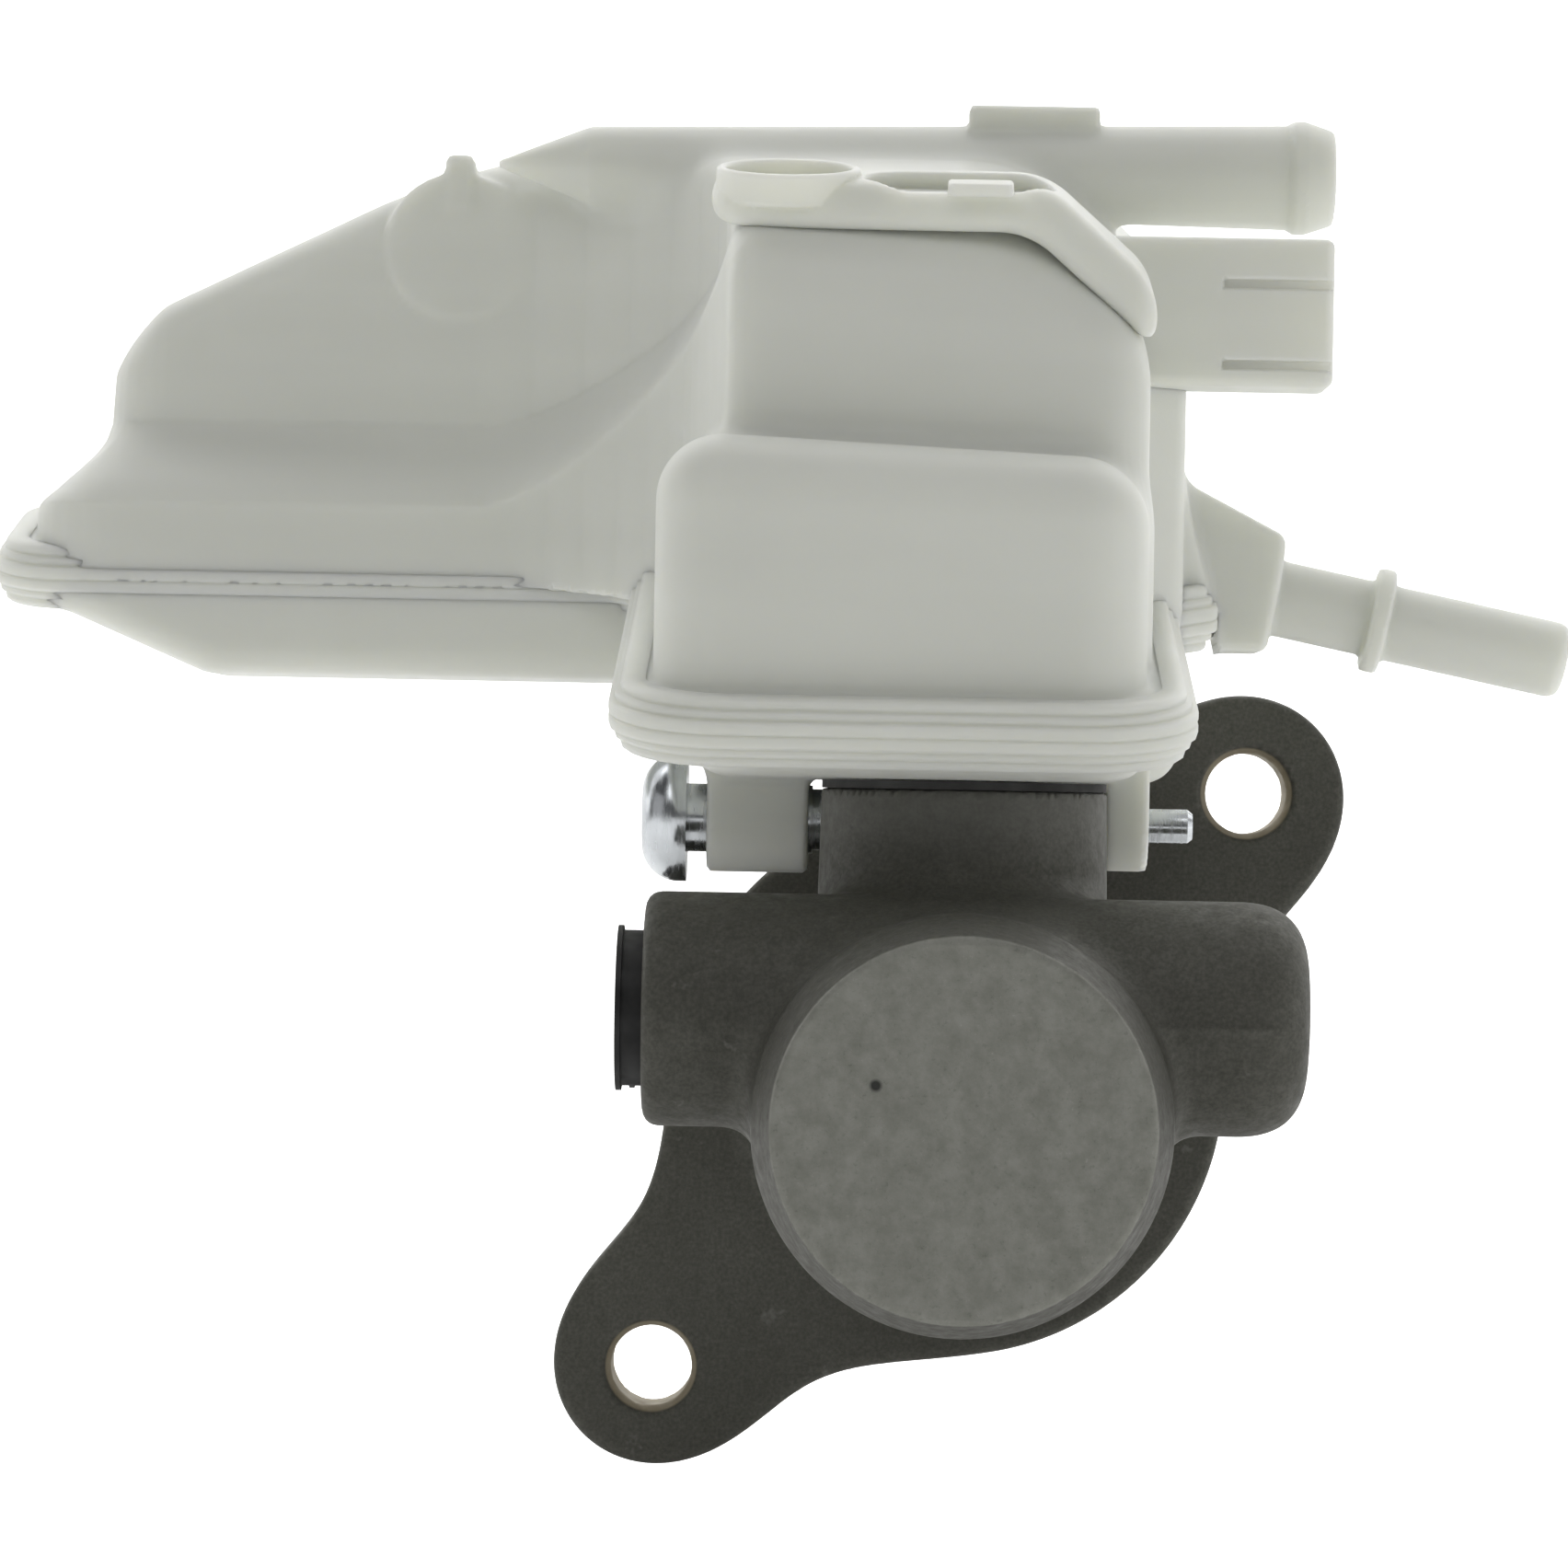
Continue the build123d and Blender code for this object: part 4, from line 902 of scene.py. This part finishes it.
SCATTER_MM = 2.4


def reservoir_plastic(name, tint):
    """Milky plastic: light scatters a few millimetres under the skin."""
    s = Shader(name, color=tint, rough=0.42, Subsurface_Weight=1.0,
               Subsurface_Scale=SCATTER_MM * MM, IOR=1.45)
    s.bsdf.inputs["Subsurface Radius"].default_value = (1.0, 0.97, 0.86)
    s.set("Specular IOR Level", 0.42)
    cloud = s.ramp(s.noise(16, 3), (0.3, 0.94), (0.7, 1.0))
    flow = s.ramp(s.noise(60, 2, 0.5, stretch=(0.3, 0.3, 2.2)), (0.35, 0.97), (0.65, 1.0))
    s.set("Base Color", s.mix(1.0, s.mix(1.0, tint, cloud, "MULTIPLY"), flow, "MULTIPLY"))
    s.set("Roughness", s.ramp(s.noise(120, 3), (0.3, 0.36), (0.7, 0.5)))
    s.bump(s.noise(900, 2, 0.6), 0.03, 0.35)
    return s.mat


def moulded(name, color, rough=0.5, grain=900, depth=0.04, **extra):
    s = Shader(name, color=color, rough=rough, **extra)
    shade = s.ramp(s.noise(90, 3), (0.3, 0.75), (0.7, 1.2))
    s.set("Base Color", s.mix(1.0, color, shade, "MULTIPLY"))
    s.set("Roughness", s.ramp(s.noise(300, 3), (0.3, rough * 0.8), (0.7, min(1, rough * 1.25))))
    s.bump(s.noise(grain, 2), depth, 0.4)
    return s.mat


def plated(name, color, rough=0.22, turn_axis="Y", grain=2600):
    s = Shader(name, color=color, rough=rough, metal=1.0)
    stretch = {"X": (1, 0.12, 0.12), "Y": (0.12, 1, 0.12), "Z": (0.12, 0.12, 1)}[turn_axis]
    lines = s.noise(grain, 2, 0.6, stretch=stretch)
    haze = s.ramp(s.noise(140, 4), (0.3, 0.7), (0.7, 1.05))
    s.set("Base Color", s.mix(1.0, color, haze, "MULTIPLY"))
    s.set("Roughness", s.ramp(lines, (0.3, rough * 0.7), (0.7, rough * 1.6)))
    s.bump(lines, 0.02, 0.35)
    return s.mat


looks = {
    "cast_alloy": cast_alloy(),
    "plug_plastic": moulded("plug_plastic", (0.005, 0.005, 0.005), 0.62),
    "rubber": moulded("rubber", (0.035, 0.035, 0.034), 0.75, 1400, 0.05),
    "zinc_steel": plated("zinc_steel", (0.72, 0.75, 0.78), 0.2, "X"),
    "spring_steel": plated("spring_steel", (0.3, 0.3, 0.31), 0.3, "Y"),
    "piston_alloy": plated("piston_alloy", (0.6, 0.56, 0.42), 0.3, "Y"),
    "guide_plastic": moulded("guide_plastic", (0.03, 0.03, 0.032), 0.4),
    "float_foam": moulded("float_foam", (0.09, 0.085, 0.08), 0.9, 2200, 0.12),
    "magnet": moulded("magnet", (0.05, 0.05, 0.052), 0.5, 1500, 0.05, Metallic=0.6),
    "reed_glass": moulded("reed_glass", (0.5, 0.7, 0.55), 0.08, 500, 0.01),
    "terminal_brass": plated("terminal_brass", (0.75, 0.58, 0.28), 0.25, "X"),
    "reservoir_plastic": reservoir_plastic("reservoir_plastic", (0.80, 0.812, 0.755)),
}


def paint(obj, look):
    obj.data.materials.clear()
    obj.data.materials.append(looks[look])


for row in frame["record"]["subparts"]:
    paint(nodes[row["node"]], row["material_slot"])
paint(body, "cast_alloy")
for piece in (upper, lower, bead, wells, connector):
    paint(piece, "reservoir_plastic")
for piece in (primary_coil, secondary_coil):
    paint(piece, "spring_steel")


# ------------------------------------------------------------------ stage, light, camera
def backdrop():
    """A floor that curves up into a wall behind, as one sweep."""
    floor_z, back_y, bend = -0.0425, 0.55, 0.25
    profile = [(-2.2, floor_z), (back_y - bend, floor_z)]
    for a in np.linspace(0, math.pi / 2, 14)[1:]:
        profile.append((back_y - bend + bend * math.sin(a), floor_z + bend * (1 - math.cos(a))))
    profile.append((back_y, 2.4))
    verts = [(x, y, z) for y, z in profile for x in (-2.5, 2.5)]
    faces = [(2 * i, 2 * i + 1, 2 * i + 3, 2 * i + 2) for i in range(len(profile) - 1)]
    sweep = place_mesh("studio_sweep", verts, faces)
    s = Shader("studio_paper", color=(0.93, 0.93, 0.92), rough=0.9)
    paper = s.ramp(s.noise(3, 2), (0.3, (0.91, 0.91, 0.905)), (0.7, (0.95, 0.95, 0.945)))
    s.set("Base Color", paper)
    s.set("Emission Color", paper)
    camera_ray = s.node("ShaderNodeLightPath").outputs["Is Camera Ray"]
    wall = s.step(s.axis("Z"), 0.0, 0.25)
    lit = s.math("ADD", 0.25, s.math("MULTIPLY", wall, 0.75))
    s.set("Emission Strength", s.math("MAXIMUM", camera_ray, lit))
    # seen from behind, the wall is clear, so a view from any side reaches the object
    see_through = s.node("ShaderNodeMixShader")
    s.link(s.node("ShaderNodeNewGeometry").outputs["Backfacing"], see_through.inputs["Fac"])
    s.link(s.bsdf.outputs["BSDF"], see_through.inputs[1])
    s.link(s.node("ShaderNodeBsdfTransparent").outputs["BSDF"], see_through.inputs[2])
    s.link(see_through.outputs["Shader"], s.out.inputs["Surface"])
    sweep.data.materials.append(s.mat)
    return sweep


backdrop()


def area_light(name, place, target, size, power):
    data = bpy.data.lights.new(name, "AREA")
    data.shape = "RECTANGLE"
    data.size, data.size_y = size
    data.energy = power
    lamp = bpy.data.objects.new(name, data)
    bpy.context.scene.collection.objects.link(lamp)
    lamp.location = place
    aim = Vector(target) - Vector(place)
    lamp.rotation_euler = aim.to_track_quat("-Z", "Y").to_euler()


# name, place, what it is aimed at, its width and height, its power
for softbox in (
    ("key_softbox", (-0.25, -0.75, 0.75), (0, -0.05, 0.03), (0.7, 0.5), 1.75),
    ("overhead_softbox", (0.0, -0.1, 0.8), (0, -0.05, 0.0), (0.9, 0.9), 0.8),
    ("fill_right", (0.8, -0.35, 0.25), (0, -0.05, 0.03), (0.6, 0.6), 1.2),
    ("fill_left", (-0.8, -0.35, 0.2), (0, -0.05, 0.03), (0.6, 0.6), 0.35),
    ("wall_wash", (0.0, 0.2, 0.9), (0, 0.52, 0.15), (1.6, 0.3), 2.0),
):
    area_light(*softbox)

world = bpy.data.worlds.new("studio")
world.use_nodes = True
sky = world.node_tree.nodes["Background"]
sky.inputs["Color"].default_value = (1, 1, 1, 1)
# white behind the object, but only a weak light on it
sky_strength = world.node_tree.nodes.new("ShaderNodeMath")
sky_strength.operation = "MAXIMUM"
sky_strength.inputs[1].default_value = 0.08
sky_camera = world.node_tree.nodes.new("ShaderNodeLightPath")
world.node_tree.links.new(sky_camera.outputs["Is Camera Ray"], sky_strength.inputs[0])
world.node_tree.links.new(sky_strength.outputs[0], sky.inputs["Strength"])
bpy.context.scene.world = world

# a long lens in front of the nose, looking along the bore and turned a little about its own axis
LENS_MM = 155.58
ROLL = 0.0192
EYE = Vector((-0.00947, -0.732, 0.0298))
LOOK_RIGHT = -0.01195
LOOK_UP = 0.002173
right = Vector((math.cos(ROLL), 0, math.sin(ROLL)))
up = Vector((-math.sin(ROLL), 0, math.cos(ROLL)))
look = (Vector((0, 1, 0)) + right * LOOK_RIGHT + up * LOOK_UP).normalized()
right = (right - look * right.dot(look)).normalized()
up = right.cross(look)
camera_data = bpy.data.cameras.new("photo_camera")
camera_data.lens = LENS_MM
camera_data.sensor_width = 36.0
camera_data.clip_start = 0.01
camera = bpy.data.objects.new("photo_camera", camera_data)
basis = Matrix((right, up, -look)).transposed().to_4x4()
camera.matrix_world = Matrix.Translation(EYE) @ basis
bpy.context.scene.collection.objects.link(camera)
bpy.context.scene.camera = camera
bpy.context.scene.view_settings.view_transform = "Standard"
